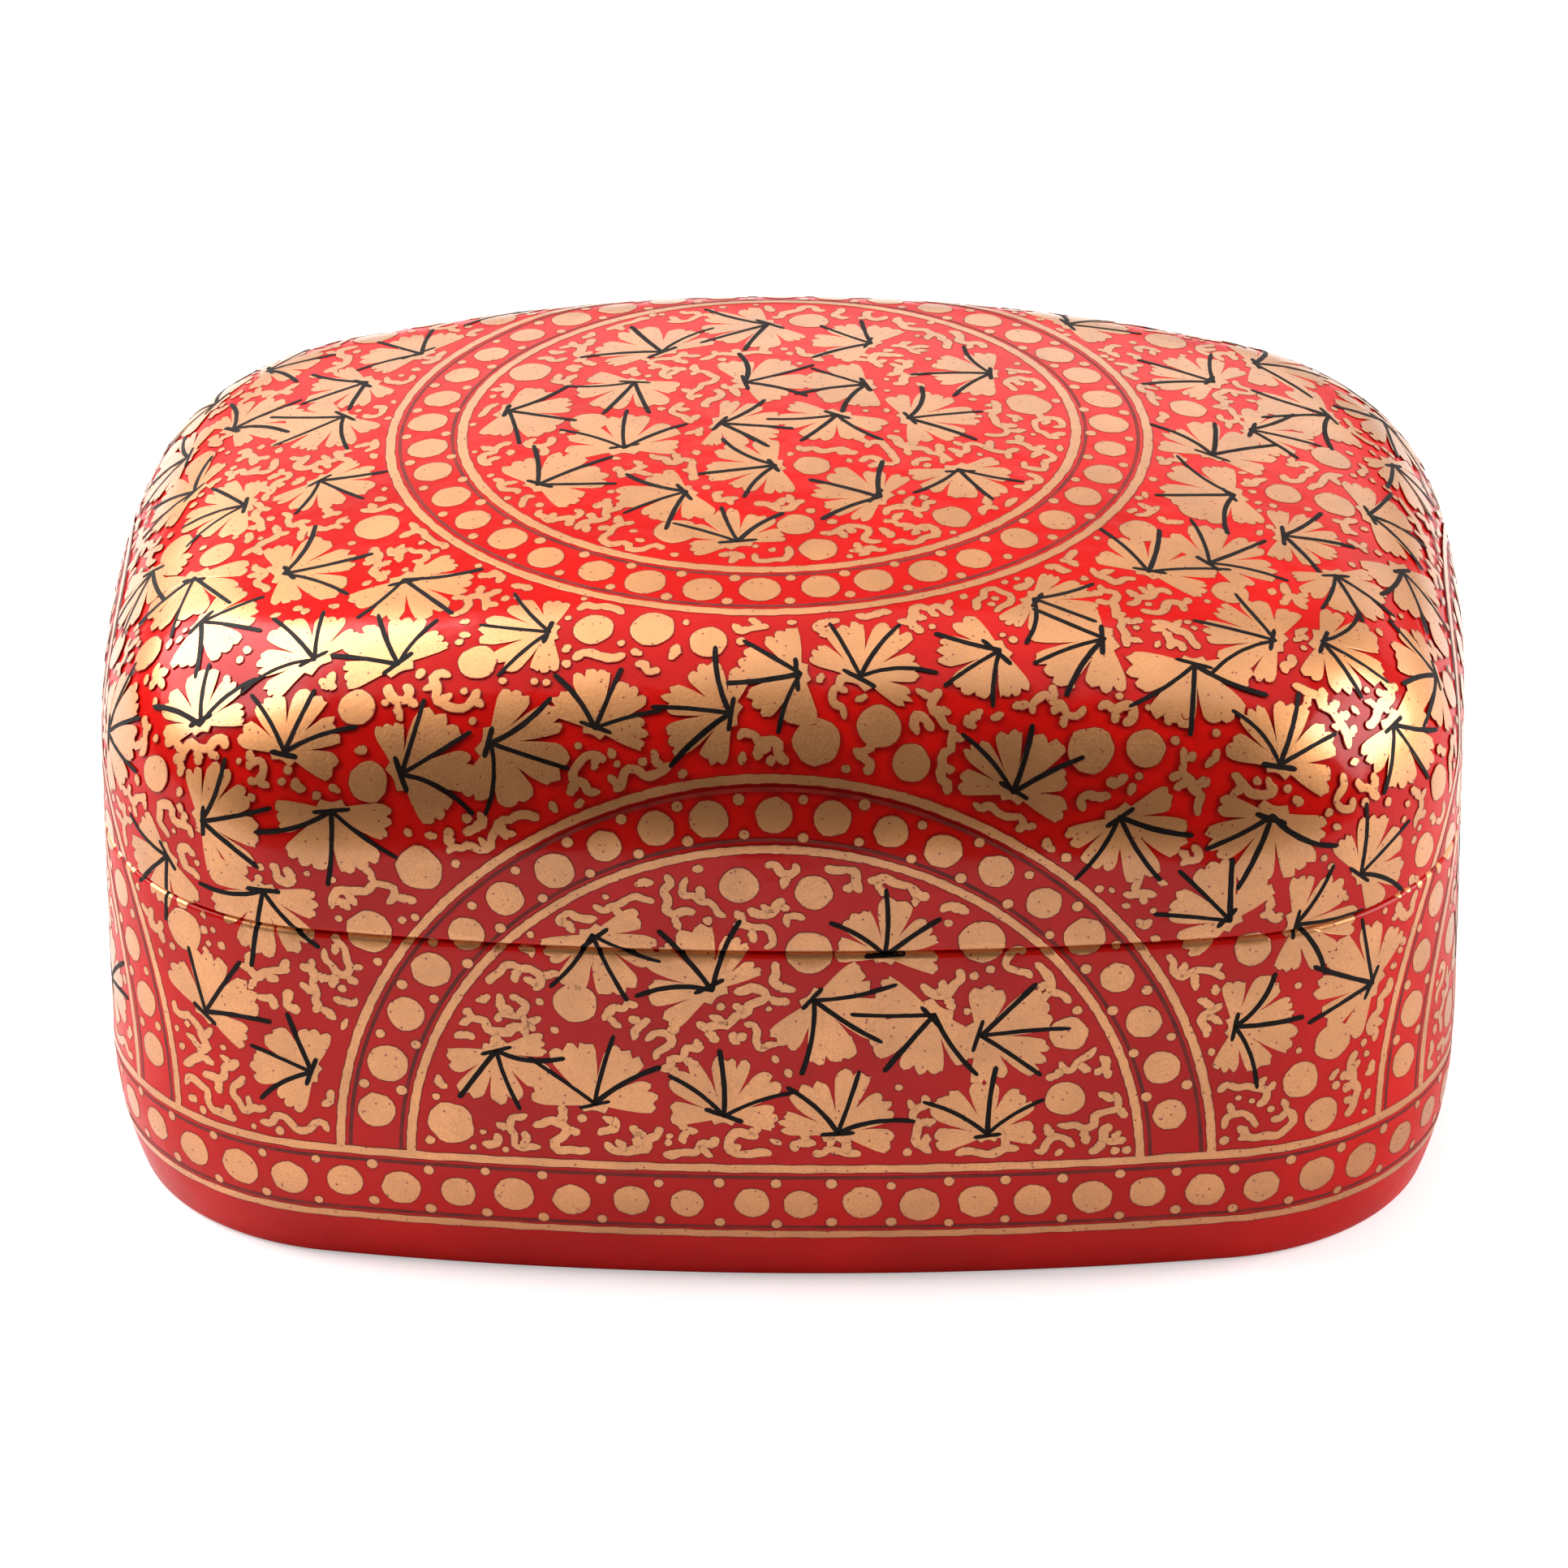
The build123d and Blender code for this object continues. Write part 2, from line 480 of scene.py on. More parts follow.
def arches(skin, paint):
    """Middle of each side round the outline, and the outer radius of its arch."""
    right = (skin.lengths[2] + skin.lengths[3]) / 2
    left = skin.perimeter - right
    back = skin.perimeter / 2
    long_arch, end_arch = paint.arch_outer, paint.end_arch_outer
    return [(0.0, long_arch), (right, end_arch), (back, long_arch), (left, end_arch)]


def arch_path(skin, paint, middle, radius):
    """Half circle drawn on the side, springing from the band round the foot."""
    turn = np.linspace(0, pi, 500)
    return skin.wall(middle - radius * np.cos(turn), paint.foot_band_top + radius * np.sin(turn))


def ring_path(skin, radius):
    """Circle drawn on the crown, a little behind the middle and to the left of it."""
    turn = np.linspace(0, 2 * pi, 900)
    return skin.crown(RING_X + radius * np.cos(turn), RING_Y + radius * np.sin(turn))


def foot_path(skin, height, count=1500):
    """Line round the foot at one height."""
    distance = np.linspace(0, skin.perimeter, count)
    return skin.wall(distance, np.full(count, height))


def band_lines(skin, paint, top_in=0.0, bottom_in=0.0, arch_in=0.0, ring_in=0.0):
    """The two lines of each bead band, moved in towards the beads, and whether each closes."""
    lines = [
        (foot_path(skin, paint.foot_band_top - top_in), True),
        (foot_path(skin, paint.foot_band_bottom + bottom_in), True),
    ]
    for middle, outer in arches(skin, paint):
        for radius in (outer - arch_in, outer - paint.arch_band + arch_in):
            lines.append((arch_path(skin, paint, middle, radius), False))
    for radius in (paint.ring_outer - ring_in, paint.ring_outer - paint.ring_band + ring_in):
        lines.append((ring_path(skin, radius), True))
    return lines


def wobble(rng, count, waves, closed):
    """Slow unevenness along a hand-drawn line: a sum of sines of random phase, from -1 to 1."""
    along = np.linspace(0, 2 * pi if closed else pi * 1.7, count)
    total = np.zeros(count)
    for wave in waves:
        total += np.sin(wave * along + rng.uniform(0, 2 * pi)) / len(waves)
    return total


def points_at(at, run, points):
    """Points of a line at some of its run, each axis worked out by straight interpolation."""
    return np.stack([np.interp(at, run, points[:, axis]) for axis in range(3)], -1)


def run_along(points):
    """Distance along a line at each of its points."""
    return np.concatenate([[0], np.cumsum(np.linalg.norm(np.diff(points, axis=0), axis=-1))])


def band_middles(skin, paint):
    """Middle line of each bead band, as points, whether it closes, and half the width between its lines."""
    half_foot = (paint.foot_band_top - paint.foot_band_bottom) / 2
    half_arch = paint.arch_band / 2
    half_ring = paint.ring_band / 2
    bands = [(foot_path(skin, paint.foot_band_bottom + half_foot), True, half_foot)]
    for middle, outer in arches(skin, paint):
        bands.append((arch_path(skin, paint, middle, outer - half_arch), False, half_arch))
    bands.append((ring_path(skin, paint.ring_outer - half_ring), True, half_ring))
    return [(skin.settle(points)[0], closed, half) for points, closed, half in bands]


def even_places(points, closed, step, first_gap):
    """Places evenly spaced along a line, and the direction of the line there."""
    run = run_along(points)
    if closed:
        count = round(run[-1] / step)
        at = (np.arange(count) + 0.5) * run[-1] / count
    else:
        count = round((run[-1] - 2 * first_gap) / step)
        at = first_gap + np.arange(count + 1) * (run[-1] - 2 * first_gap) / count
    ahead = points_at(at + 0.2 * MM, run, points)
    behind = points_at(at - 0.2 * MM, run, points)
    return points_at(at, run, points), unit(ahead - behind)


def random_places(skin, rng, count):
    """Evenly scattered points of the painted surface: random points of space near it, settled on to it."""
    reach = np.array([HALF_WIDTH, HALF_DEPTH, TOP])
    points = rng.uniform([-1.0, -1.0, 0.08], 1.0, (count, 3)) * reach
    points = points[np.abs(skin.field(points)[0]) < 1.2 * MM]
    points, normals = skin.settle(points)
    mixed = rng.permutation(len(points))
    return points[mixed], normals[mixed]


class Plan:
    """Layout of the ornament over the whole box, worked out once and shared by the painting operators."""

    leaf_throws = 16_000
    throws = 500_000
    stroke_throws = 900_000
    batch = 1000
    turns_tried = 6
    swings = np.array([1.3, 0.9, 0.4, -0.4, -0.9, -1.4])
    swing_liking = np.array([2.5, 2.0, 1.0, 0.5, 0.2, 0.0])
    node_spacing = 1.3 * MM
    branch_share = 0.8

    def __init__(self, form, paint):
        self.skin = Skin(form)
        self.paint = paint
        self.rng = np.random.default_rng(paint.seed)
        self.ground = Ground(paint.gap, paint.stroke / 2)
        self.keep_bands_clear()
        self.leaves = []
        self.discs = []
        self.place_leaves_and_discs()
        self.strokes = []
        self.dashes = []
        self.dots = []
        self.place_strokes()

    def keep_bands_clear(self):
        """Takes the bands and their lines, and the bare foot below them, so that leaves stay beside them."""
        for points, closed, half in band_middles(self.skin, self.paint):
            self.ground.take(points[::2], half + self.paint.line / 2)
        heights = np.arange(0, self.paint.foot_band_bottom, 0.8 * MM)
        foot = np.concatenate([foot_path(self.skin, height, 1200) for height in heights])
        self.ground.take(self.skin.settle(foot)[0], 0.4 * MM)

    def place_leaves_and_discs(self):
        """Darts: at each random place a leaf is tried, then discs are dropped into what is left."""
        paint, rng = self.paint, self.rng
        places, normals = random_places(self.skin, rng, self.throws)
        for place, normal in zip(places[:self.leaf_throws], normals[:self.leaf_throws]):
            if self.ground.free(place[None]):
                self.try_leaf(place, normal)
        disc = np.concatenate([circle_points(12), circle_points(6) / 2, [[0, 0]]]) * paint.disc / 2
        for place, normal in zip(places[self.leaf_throws:], normals[self.leaf_throws:]):
            size = rng.uniform(0.85, 1.12)
            around = self.laid(place, normal, np.zeros(1), disc * size)
            if self.ground.all_free(around)[0]:
                self.discs.append((place, rng.uniform(0, 2 * pi), size))
                self.ground.take(around[0], 0.4 * MM)
            if len(self.discs) > paint.disc_share * len(self.leaves):
                break

    def try_leaf(self, place, normal):
        """Keeps a leaf here if the whole of it is on free ground in one of several turns: the turn with the
        most paint close round it, so that leaves nest."""
        length, rng = self.paint.leaf, self.rng
        base_ring = circle_points(8) * 1.2 * MM
        turns = rng.uniform(0, 2 * pi) + np.arange(self.turns_tried) * 2 * pi / self.turns_tried
        size = rng.uniform(0.9, 1.1)
        leaf = np.concatenate([leaf_outline(length, reach) for reach in (0.3, 0.65, 1.08)] + [base_ring])
        clear = self.ground.all_free(self.laid(place, normal, turns, leaf * size))
        if not clear.any():
            return
        beside = self.laid(place, normal, turns, leaf_outline(length, 1.4) * size)
        taken = self.ground.shapes[self.ground.cells(beside.reshape(-1, 3))]
        crowded = taken.reshape(self.turns_tried, -1).sum(1)
        chosen = int(np.argmax(np.where(clear, crowded, -1)))
        self.leaves.append((place, turns[chosen], size))
        rings = [leaf_outline(length * size, reach) for reach in np.linspace(0.1, 1.08, 8)]
        whole = np.concatenate(rings + [base_ring / 2, base_ring])
        self.ground.take(self.laid(place, normal, turns[chosen:chosen + 1], whole), 0.05 * MM)

    def laid(self, place, normal, turns, shape):
        """A flat shape laid on the surface at a place, turned in each of several ways."""
        first, second = self.skin.tangents(np.broadcast_to(normal, (len(turns), 3)), turns)
        around = place + shape[:, :1] * first[:, None] + shape[:, 1:] * second[:, None]
        return self.skin.settle(around, 1)[0]

    def free_places(self, places, normals, is_free):
        """Goes through random places in batches and gives those that are free when their turn comes."""
        for start in range(0, len(places), self.batch):
            chosen = slice(start, start + self.batch)
            free = is_free(places[chosen])
            for place, normal in zip(places[chosen][free], normals[chosen][free]):
                if is_free(place[None])[0]:
                    yield place, normal

    def place_strokes(self):
        """Fills what is left with wandering strokes, and the pockets between those with dashes and dots."""
        places, normals = random_places(self.skin, self.rng, self.stroke_throws)
        for place, normal in self.free_places(places, normals, self.ground.free_for_stroke):
            path = self.wander(place, normal)
            if len(path) > 1:
                self.strokes.append(path)
                self.ground.take(between(path), self.paint.stroke / 2)
                self.add_branches(path)
        for place, normal in self.free_places(places, normals, self.ground.free_for_dab):
            self.add_dab(place, normal)

    def add_dab(self, place, normal):
        """A short dash in the first of eight ways that has room for it, or else a dot."""
        half = self.rng.uniform(0.45, 0.7) * MM
        along, _ = self.skin.tangents(np.broadcast_to(normal, (8, 3)), np.arange(8) * pi / 8)
        ends = np.stack([place - half * along, place + half * along], 1)
        clear = self.ground.free_for_dab(ends.reshape(-1, 3)).reshape(8, 2).all(1)
        if clear.any():
            first, last = self.skin.settle(ends[int(np.argmax(clear))], 1)[0]
            dash = [first, (first + last) / 2, last]
            self.dashes.append(dash)
            self.ground.take(between(dash), self.paint.stroke / 3)
        else:
            self.dots.append(place)
            self.ground.take(place[None], self.paint.dot / 3)

    def wander(self, place, normal):
        """Nodes of one stroke, grown from its start both ways by short steps that swing from side to side.

        Each step takes the swing that it likes best of those with room: what keeps close to painted ground
        and swings to the side whose turn it is, with some chance in it.
        """
        rng = self.rng
        path = [place]
        heading = rng.uniform(0, 2 * pi)
        count = len(self.swings)
        ring = circle_points(8) * 0.5 * MM
        for way in (heading, heading + pi):
            side = rng.choice([-1, 1])
            here, up = place, normal
            for _ in range(rng.integers(3, 9)):
                options = way + side * self.swings
                step = rng.uniform(0.75, 1.25) * MM
                first, second = self.skin.tangents(np.broadcast_to(up, (count, 3)), options)
                ends, ups = self.skin.settle(here + first * step, 1)
                clear = self.ground.free_for_stroke(ends) & self.ground.free_for_stroke((ends + here) / 2)
                nodes = np.array(path[:-1]).reshape(-1, 1, 3)
                clear &= (np.linalg.norm(nodes - ends, axis=-1) > self.node_spacing).all(0)
                if not clear.any():
                    break
                nearby = ends[:, None] + ring[:, :1] * first[:, None] + ring[:, 1:] * second[:, None]
                crowded = ~self.ground.free_for_stroke(nearby.reshape(-1, 3)).reshape(count, -1)
                liking = crowded.sum(1) + self.swing_liking + rng.uniform(0, 2.5, count)
                chosen = int(np.argmax(np.where(clear, liking, -1)))
                way = options[chosen]
                here, up = ends[chosen], ups[chosen]
                path.append(here)
                side = -side
            path.reverse()
        return path

    def add_branches(self, path):
        """Short bent stubs off the inner nodes of a stroke, where the ground beside it is free."""
        rng = self.rng
        inner = np.array(path[1:-1]).reshape(-1, 3)
        if not len(inner):
            return
        ahead = unit(np.array(path[2:]) - np.array(path[:-2]))
        side = np.cross(self.skin.field(inner)[1], ahead)
        for node, forward, beside in zip(inner, ahead, side):
            if rng.random() > self.branch_share:
                continue
            way = beside * rng.choice([-1, 1]) + forward * rng.uniform(-0.6, 0.6)
            bent = way + forward * rng.uniform(-0.8, 0.8)
            reach = rng.uniform(0.55, 1.05) * MM
            stub = [node, node + unit(way) * reach, node + (unit(way) + unit(bent)) * reach]
            stub = self.skin.settle(np.array(stub), 1)[0]
            apart = np.linalg.norm(np.array(path) - stub[2], axis=-1)
            if self.ground.free(stub[2:]) and apart.min() > 0.9 * MM:
                self.strokes.append(list(stub))
                self.ground.take(stub[1:], self.paint.stroke / 2)


def between(path):
    """The nodes of a path and the middles between them."""
    nodes = np.array(path)
    return np.concatenate([nodes, (nodes[1:] + nodes[:-1]) / 2])


def circle_points(count):
    """Points evenly spaced round a circle of radius 1."""
    turn = np.arange(count) * 2 * pi / count
    return np.stack([np.cos(turn), np.sin(turn)], -1)


def leaf_outline(length, reach):
    """A plain fan, for testing room: reach of the leaf's length over 108 degrees each side of its middle."""
    turn = np.radians(np.linspace(-108, 108, 23))
    radius = length * (1 - 0.3 * (np.abs(turn) / 1.9) ** 1.5) * reach
    return np.stack([radius * np.cos(turn), radius * np.sin(turn)], -1)


def smooth_path(nodes, count, half_width):
    """A stroke's nodes rounded twice by cutting corners, then spaced with more points at its round ends."""
    nodes = np.array(nodes)
    for _ in range(2):
        first = 0.82 * nodes[:-1] + 0.18 * nodes[1:]
        second = 0.18 * nodes[:-1] + 0.82 * nodes[1:]
        inner = np.stack([first, second], 1).reshape(-1, 3)
        nodes = np.concatenate([nodes[:1], inner, nodes[-1:]])
    run = run_along(nodes)
    cap = half_width * np.array([0, 0.12, 0.45, 1.0])
    middle = np.linspace(cap[-1], run[-1] - cap[-1], count - 6)[1:-1]
    at = np.concatenate([cap, middle, run[-1] - cap[::-1]])
    return points_at(at, run, nodes), at, run[-1]


# ---------------------------------------------------------------- shells


def closed_grid(rows, first_pole, last_pole):
    """Vertices and faces of rings of points one above another, with a single point closing either end. The
    two poles are the last two vertices."""
    rings, count = rows.shape[:2]
    index = np.arange(rings * count).reshape(rings, count)
    first = np.full((1, count), rings * count)
    index = np.concatenate([first, index, first + 1])
    index = np.concatenate([index, index[:, :1]], axis=1)
    return np.concatenate([rows.reshape(-1, 3), [first_pole, last_pole]]), grid_faces(index)


def ring_at(skin, inset, height):
    """One ring of the outline moved in by inset, at a height."""
    at, _ = skin.outline(np.arange(COLUMNS) * skin.perimeter / COLUMNS, inset)
    return np.concatenate([at, np.full((COLUMNS, 1), height)], -1)


def dome_rows(skin, thickness, wall_start):
    """Rings up the wall, round the shoulder and over the crown, at a depth below the surface.

    The shoulder's arc turns from the wall's normal to the crown's about the centre of the rolled ball. The
    crown's rings run straight in plan from the end of that arc to the middle, at the sphere's height.
    """
    form = skin.form
    at, normal = skin.outline(np.arange(COLUMNS) * skin.perimeter / COLUMNS)
    level = skin.ball_height(at, normal)
    centre = np.concatenate([at - normal * form.shoulder_radius, level[:, None]], -1)
    out = np.concatenate([normal, np.zeros((COLUMNS, 1))], -1)
    up = unit(centre - skin.crown_centre)
    angle = np.arccos(np.sum(out * up, -1))[:, None]
    rows = []
    for share in np.linspace(0, 1, 8)[:-1]:
        height = wall_start + share * (level - wall_start)
        rows.append(np.concatenate([at - normal * thickness, height[:, None]], -1))
    for share in np.linspace(0, 1, 25):
        way = (np.sin((1 - share) * angle) * out + np.sin(share * angle) * up) / np.sin(angle)
        rows.append(centre + (form.shoulder_radius - thickness) * way)
    edge = rows[-1][:, :2]
    for share in np.linspace(1, 0, 26)[1:-1]:
        inward = edge * share
        rise = np.sqrt((form.crown_radius - thickness) ** 2 - np.sum(inward**2, -1, keepdims=True))
        rows.append(np.concatenate([inward, skin.crown_centre[2] + rise], -1))
    return rows


def seam_rows(skin, side):
    """Quarter round at the saw cut, from its flat face outwards: above it for side 1, below for side -1."""
    form = skin.form
    rows = []
    for turn in np.linspace(0, pi / 2, 6):
        inset = form.seam_round * (1 - np.sin(turn))
        height = form.seam_gap + form.seam_round * (1 - np.cos(turn))
        rows.append(ring_at(skin, inset, SEAM + side * height))
    return rows


def lid_shape(skin):
    """Closed shell: crown, shoulder, wall, the rounded edge at the cut, and the same again inside. The rows
    run from the middle of the ceiling outwards and over to the middle of the crown; also how many are
    inside."""
    form = skin.form
    outside = dome_rows(skin, 0, SEAM + form.seam_gap + form.seam_round)
    inside = dome_rows(skin, form.lid_wall, SEAM + form.seam_gap)
    rows = inside[::-1] + seam_rows(skin, 1) + outside[1:]
    inner_pole = skin.crown_centre + [0, 0, form.crown_radius - form.lid_wall]
    outer_pole = skin.crown_centre + [0, 0, form.crown_radius]
    vertices, faces = closed_grid(np.array(rows), inner_pole, outer_pole)
    return vertices, faces, len(inside)


def tray_shape(skin):
    """Closed shell: underside, turned-in foot, wall, the rounded edge at the cut, inner wall, cove and floor.
    The rows run from the middle of the underside outwards and over to the middle of the floor; also how many
    are outside."""
    form = skin.form
    bottom = []
    ball_inset = skin.foot_radius - np.sqrt(
        (skin.foot_radius - form.foot_round) ** 2 - (form.foot_height - form.foot_round) ** 2
    )
    lean = atan2(form.foot_height - form.foot_round, skin.foot_radius - ball_inset)
    for turn in np.linspace(pi / 2, lean, 7):
        inset = ball_inset - form.foot_round * np.cos(turn)
        bottom.append(ring_at(skin, inset, form.foot_round * (1 - np.sin(turn))))
    for turn in np.linspace(lean, 0, 12)[1:]:
        inset = skin.foot_radius * (1 - np.cos(turn))
        bottom.append(ring_at(skin, inset, form.foot_height - skin.foot_radius * np.sin(turn)))
    under = [bottom[0] * [share, share, 1] for share in (0.1, 0.4, 0.7, 0.9)]
    top = SEAM - form.seam_gap - form.seam_round
    wall = [ring_at(skin, 0, height) for height in np.linspace(form.foot_height, top, 9)[1:-1]]
    outside = under + bottom + wall + seam_rows(skin, -1)[::-1]
    inner = [ring_at(skin, form.base_wall, height) for height in (SEAM - form.seam_gap, SEAM / 2)]
    cove = []
    for turn in np.linspace(0, pi / 2, 8):
        inset = form.base_wall + form.floor_round * (1 - np.cos(turn))
        cove.append(ring_at(skin, inset, form.floor + form.floor_round * (1 - np.sin(turn))))
    floor = [cove[-1] * [share, share, 1] for share in (0.8, 0.5, 0.15)]
    vertices, faces = closed_grid(np.array(outside + inner + cove + floor), (0, 0, 0), (0, 0, form.floor))
    return vertices, faces, len(outside)


# ---------------------------------------------------------------- painted shapes


def painted(skin, points, lift):
    """Points near the surface put on to it and raised by the paint."""
    settled, normals = skin.settle(points, 2)
    return settled + normals * np.broadcast_to(lift, settled.shape[:-1])[..., None]


def ribbon(skin, middle, offsets, lifts):
    """A stroke: points carried sideways from the middle line by the offsets at each place, and raised."""
    settled, normals = skin.settle(middle, 2)
    ahead = np.gradient(settled, axis=-2)
    side = unit(np.cross(normals, unit(ahead)))
    across = settled[..., None, :] + side[..., None, :] * offsets[..., None]
    return painted(skin, across, np.broadcast_to(lifts, across.shape[:-1]))


def strip_faces(count, across):
    """Faces of a strip of count rows with as many vertices across."""
    return grid_faces(np.arange(count * across).reshape(count, across))


def join(shapes):
    """One array of vertices and one of faces from several shapes."""
    vertices, faces, start = [], [], 0
    for points, corners in shapes:
        points = points.reshape(-1, 3)
        vertices.append(points)
        faces.append(corners + start)
        start += len(points)
    return np.concatenate(vertices), np.concatenate(faces)


def across_stroke(left, right, lift, edge):
    """Offsets across a stroke and how far each is raised: gold or ink goes from its foot on one side over a
    flat top to its foot on the other, and the dark edge, partly paint bleed and partly painted shade, is a
    thin film that reaches past it by edge."""
    if edge:
        return np.stack([-(left + edge), right + edge], -1), np.full(2, FILM)
    tops = [-np.maximum(left - RIM, 0.2 * left), np.maximum(right - RIM, 0.2 * right)]
    return np.stack([-left, *tops, right], -1), np.array([0.0, lift, lift, 0.0])


def long_line(skin, rng, points, half, closed, lift, edge=0.0):
    """A long brushed line: a ribbon whose middle wanders and whose width swells and thins along it."""
    run = np.linalg.norm(np.diff(points, axis=0), axis=-1).sum()
    count = int(run / (0.55 * MM))
    middle = points_at(np.linspace(0, len(points) - 1, count), np.arange(len(points)), points)
    sides = []
    for slow, quick in (((9, 23, 41), (67, 113)), ((7, 19, 53), (71, 127))):
        swell = 0.10 * wobble(rng, count, slow, closed) + 0.12 * wobble(rng, count, quick, closed)
        sides.append(half * (1 + swell))
    offsets, lifts = across_stroke(*sides, lift, edge)
    return ribbon(skin, middle, offsets, lifts), strip_faces(count, len(lifts))


def strokes_shape(skin, rng, paths, width, lift, samples, knobs, edge=0.0):
    """Many brush strokes at once, round-ended, whose two sides swell and thin each in its own way."""
    middles, ends = [], []
    half = width / 2
    for path in paths:
        place, at, run = smooth_path(path, samples, half)
        middles.append(place)
        taper = rng.uniform(0.9, 2.4, 2) * half
        ends.append(np.minimum(at / taper[0], (run - at) / taper[1]))
    ends = np.clip(np.array(ends), 0, 1)
    round_end = np.sqrt(1 - (1 - ends) ** 2)
    each = (len(paths), 1)
    thick = rng.uniform(0.84, 1.14, each)
    along = np.linspace(0, 1, samples)
    sides = []
    for _ in range(2):
        swell = np.zeros((len(paths), samples))
        for waves in (1.5, 4.0, 8.0):
            phase = rng.uniform(0, 2 * pi, each)
            swell += np.sin(2 * pi * waves * rng.uniform(0.7, 1.3, each) * along + phase) / waves**0.5
        sides.append(half * thick * round_end * (1 + knobs * swell))
    offsets, lifts = across_stroke(*sides, lift, edge)
    shape = ribbon(skin, np.array(middles), offsets, lifts)
    faces = strip_faces(samples, len(lifts))
    return shape.reshape(-1, 3), repeated(faces, samples * len(lifts), len(paths))


def blob_shape(skin, places, turns, radii, rims, lift, edge=0.0):
    """Round dabs of paint: rings of points about a middle, the rim uneven by its own factor at each point.
    The dark edge, partly paint bleed and partly painted shade, is a ring alone."""
    count = rims.shape[1]
    circle = circle_points(count)
    settled, normals = skin.settle(places, 1)
    first, second = skin.tangents(normals, turns)
    if edge:
        rings = ((1 - EDGE_OVERLAP / radii.mean(), FILM, 0.0), (1.0, FILM, edge))
        index = np.arange(2 * count).reshape(2, count)
    else:
        rings = ((0.0, lift, 0.0), (1.0, lift, -RIM), (1.0, 0.0, 0.0))
        index = np.arange(3 * count).reshape(3, count)
        index[0] = 0
    rows = []
    for share, rise, more in rings:
        reach = (radii[:, None] * rims * share + more)[..., None]
        flat = reach * (circle[None, :, :1] * first[:, None] + circle[None, :, 1:] * second[:, None])
        rows.append(painted(skin, settled[:, None] + flat, rise))
    index = np.concatenate([index, index[:, :1]], axis=1)
    return np.stack(rows, 1).reshape(-1, 3), repeated(grid_faces(index), len(rings) * count, len(places))


def leaf_rim(rng, length):
    """Angles and radii round one chinar leaf, whose base is the middle.

    Each lobe falls in a steep wedge to the slot at either end, and its tip is two or three round bumps with
    sharp notches between them. The lobes shorten away from the middle one, and two small ears close the leaf
    behind.
    """
    fans = ((-108, -52, 0, 52, 108), (-112, -68, -23, 23, 68, 112), (-114, -76, -38, 0, 38, 76, 114))
    ends = np.array(fans[rng.choice(3, p=(0.3, 0.5, 0.2))], dtype=float)
    ends[1:-1] += rng.uniform(-5, 5, len(ends) - 2)
    ends[[0, -1]] += rng.uniform(-8, 4) * np.array([-1, 1])
    angles, radii = [], []
    for number, (start, stop) in enumerate(zip(ends, ends[1:])):
        bumps = 3 if stop - start > 47 or rng.random() < 0.35 else 2
        width = 1.52 / bumps
        places = -0.76 + (np.arange(bumps)[:, None] + np.array([0.0, 0.2, 0.5, 0.8])) * width
        drop = rng.uniform(0.06, 0.13, (bumps, 1))
        tips = 1 - drop * np.array([1.0, 0.3, 0.0, 0.3]) + rng.uniform(-0.03, 0.03, (bumps, 1))
        tips[0, 0] += 0.06
        first = rng.uniform(0.5, 0.64) if number > 0 else 0.76
        last = rng.uniform(0.5, 0.64) if number < len(ends) - 2 else 0.76
        across = np.concatenate([[-1, -0.92, -0.84], places.ravel(), [0.76, 0.84, 0.92]])
        slot_in = 1 - first * np.array([1.0, 0.62, 0.26])
        slot_out = 1 - last * np.array([0.12, 0.26, 0.62])
        middle = (start + stop) / 2
        reach = (1 - 0.26 * (abs(middle) / 100) ** 1.5) * rng.uniform(0.92, 1.08)
        angles.append(middle + across * (stop - start) / 2)
        lobe = np.concatenate([slot_in, tips.ravel(), slot_out])
        radii.append(length * reach * lobe * (1 - 0.07 * across**2))
    back = np.linspace(ends[-1] + 3, 360 + ends[0] - 3, 6)
    angles.append(back)
    radii.append(length * np.array([0.2, 0.21, 0.12, 0.12, 0.21, 0.2]) * rng.uniform(0.85, 1.2))
    radii = np.concatenate(radii)
    radii = radii * (1 + 0.014 * rng.normal(size=len(radii)))
    return np.radians(np.concatenate(angles)), radii


def leaf_frames(skin, leaves):
    """Place of each leaf's base, and the directions along the leaf and across it."""
    places = np.array([leaf[0] for leaf in leaves])
    _, normals = skin.settle(places, 1)
    return places, *skin.tangents(normals, np.array([leaf[1] for leaf in leaves]))


def leaf_shape(skin, rims, leaves, lift, edge=0.0):
    """Fans of rings about each leaf's base, flat on top and falling to the ground at the rim. The dark edge,
    partly paint bleed and partly painted shade, is a ring alone."""
    shapes, rises = [], []
    places, first, second = leaf_frames(skin, leaves)
    for number, (angles, radii) in enumerate(rims):
        if edge:
            rise = np.full(2, FILM)
            reach = np.array([radii - LEAF_EDGE_OVERLAP, radii + edge])
        else:
            rise = np.array([lift, lift, lift, lift, 0.0])
            reach = np.array([radii * share for share in (0.0, 0.36, 0.68, 1.0, 1.0)])
            reach[3] -= RIM
        across = np.cos(angles)[:, None] * first[number]
        along = np.sin(angles)[:, None] * second[number]
        points = places[number] + reach[..., None] * (across + along)
        count = len(angles)
        index = np.arange(len(rise) * count).reshape(len(rise), count)
        if not edge:
            index[0] = 0
        index = np.concatenate([index, index[:, :1]], axis=1)
        shapes.append((points, grid_faces(index)))
        rises.append(np.repeat(rise, count))
    points, faces = join(shapes)
    return painted(skin, points, np.concatenate(rises)), faces


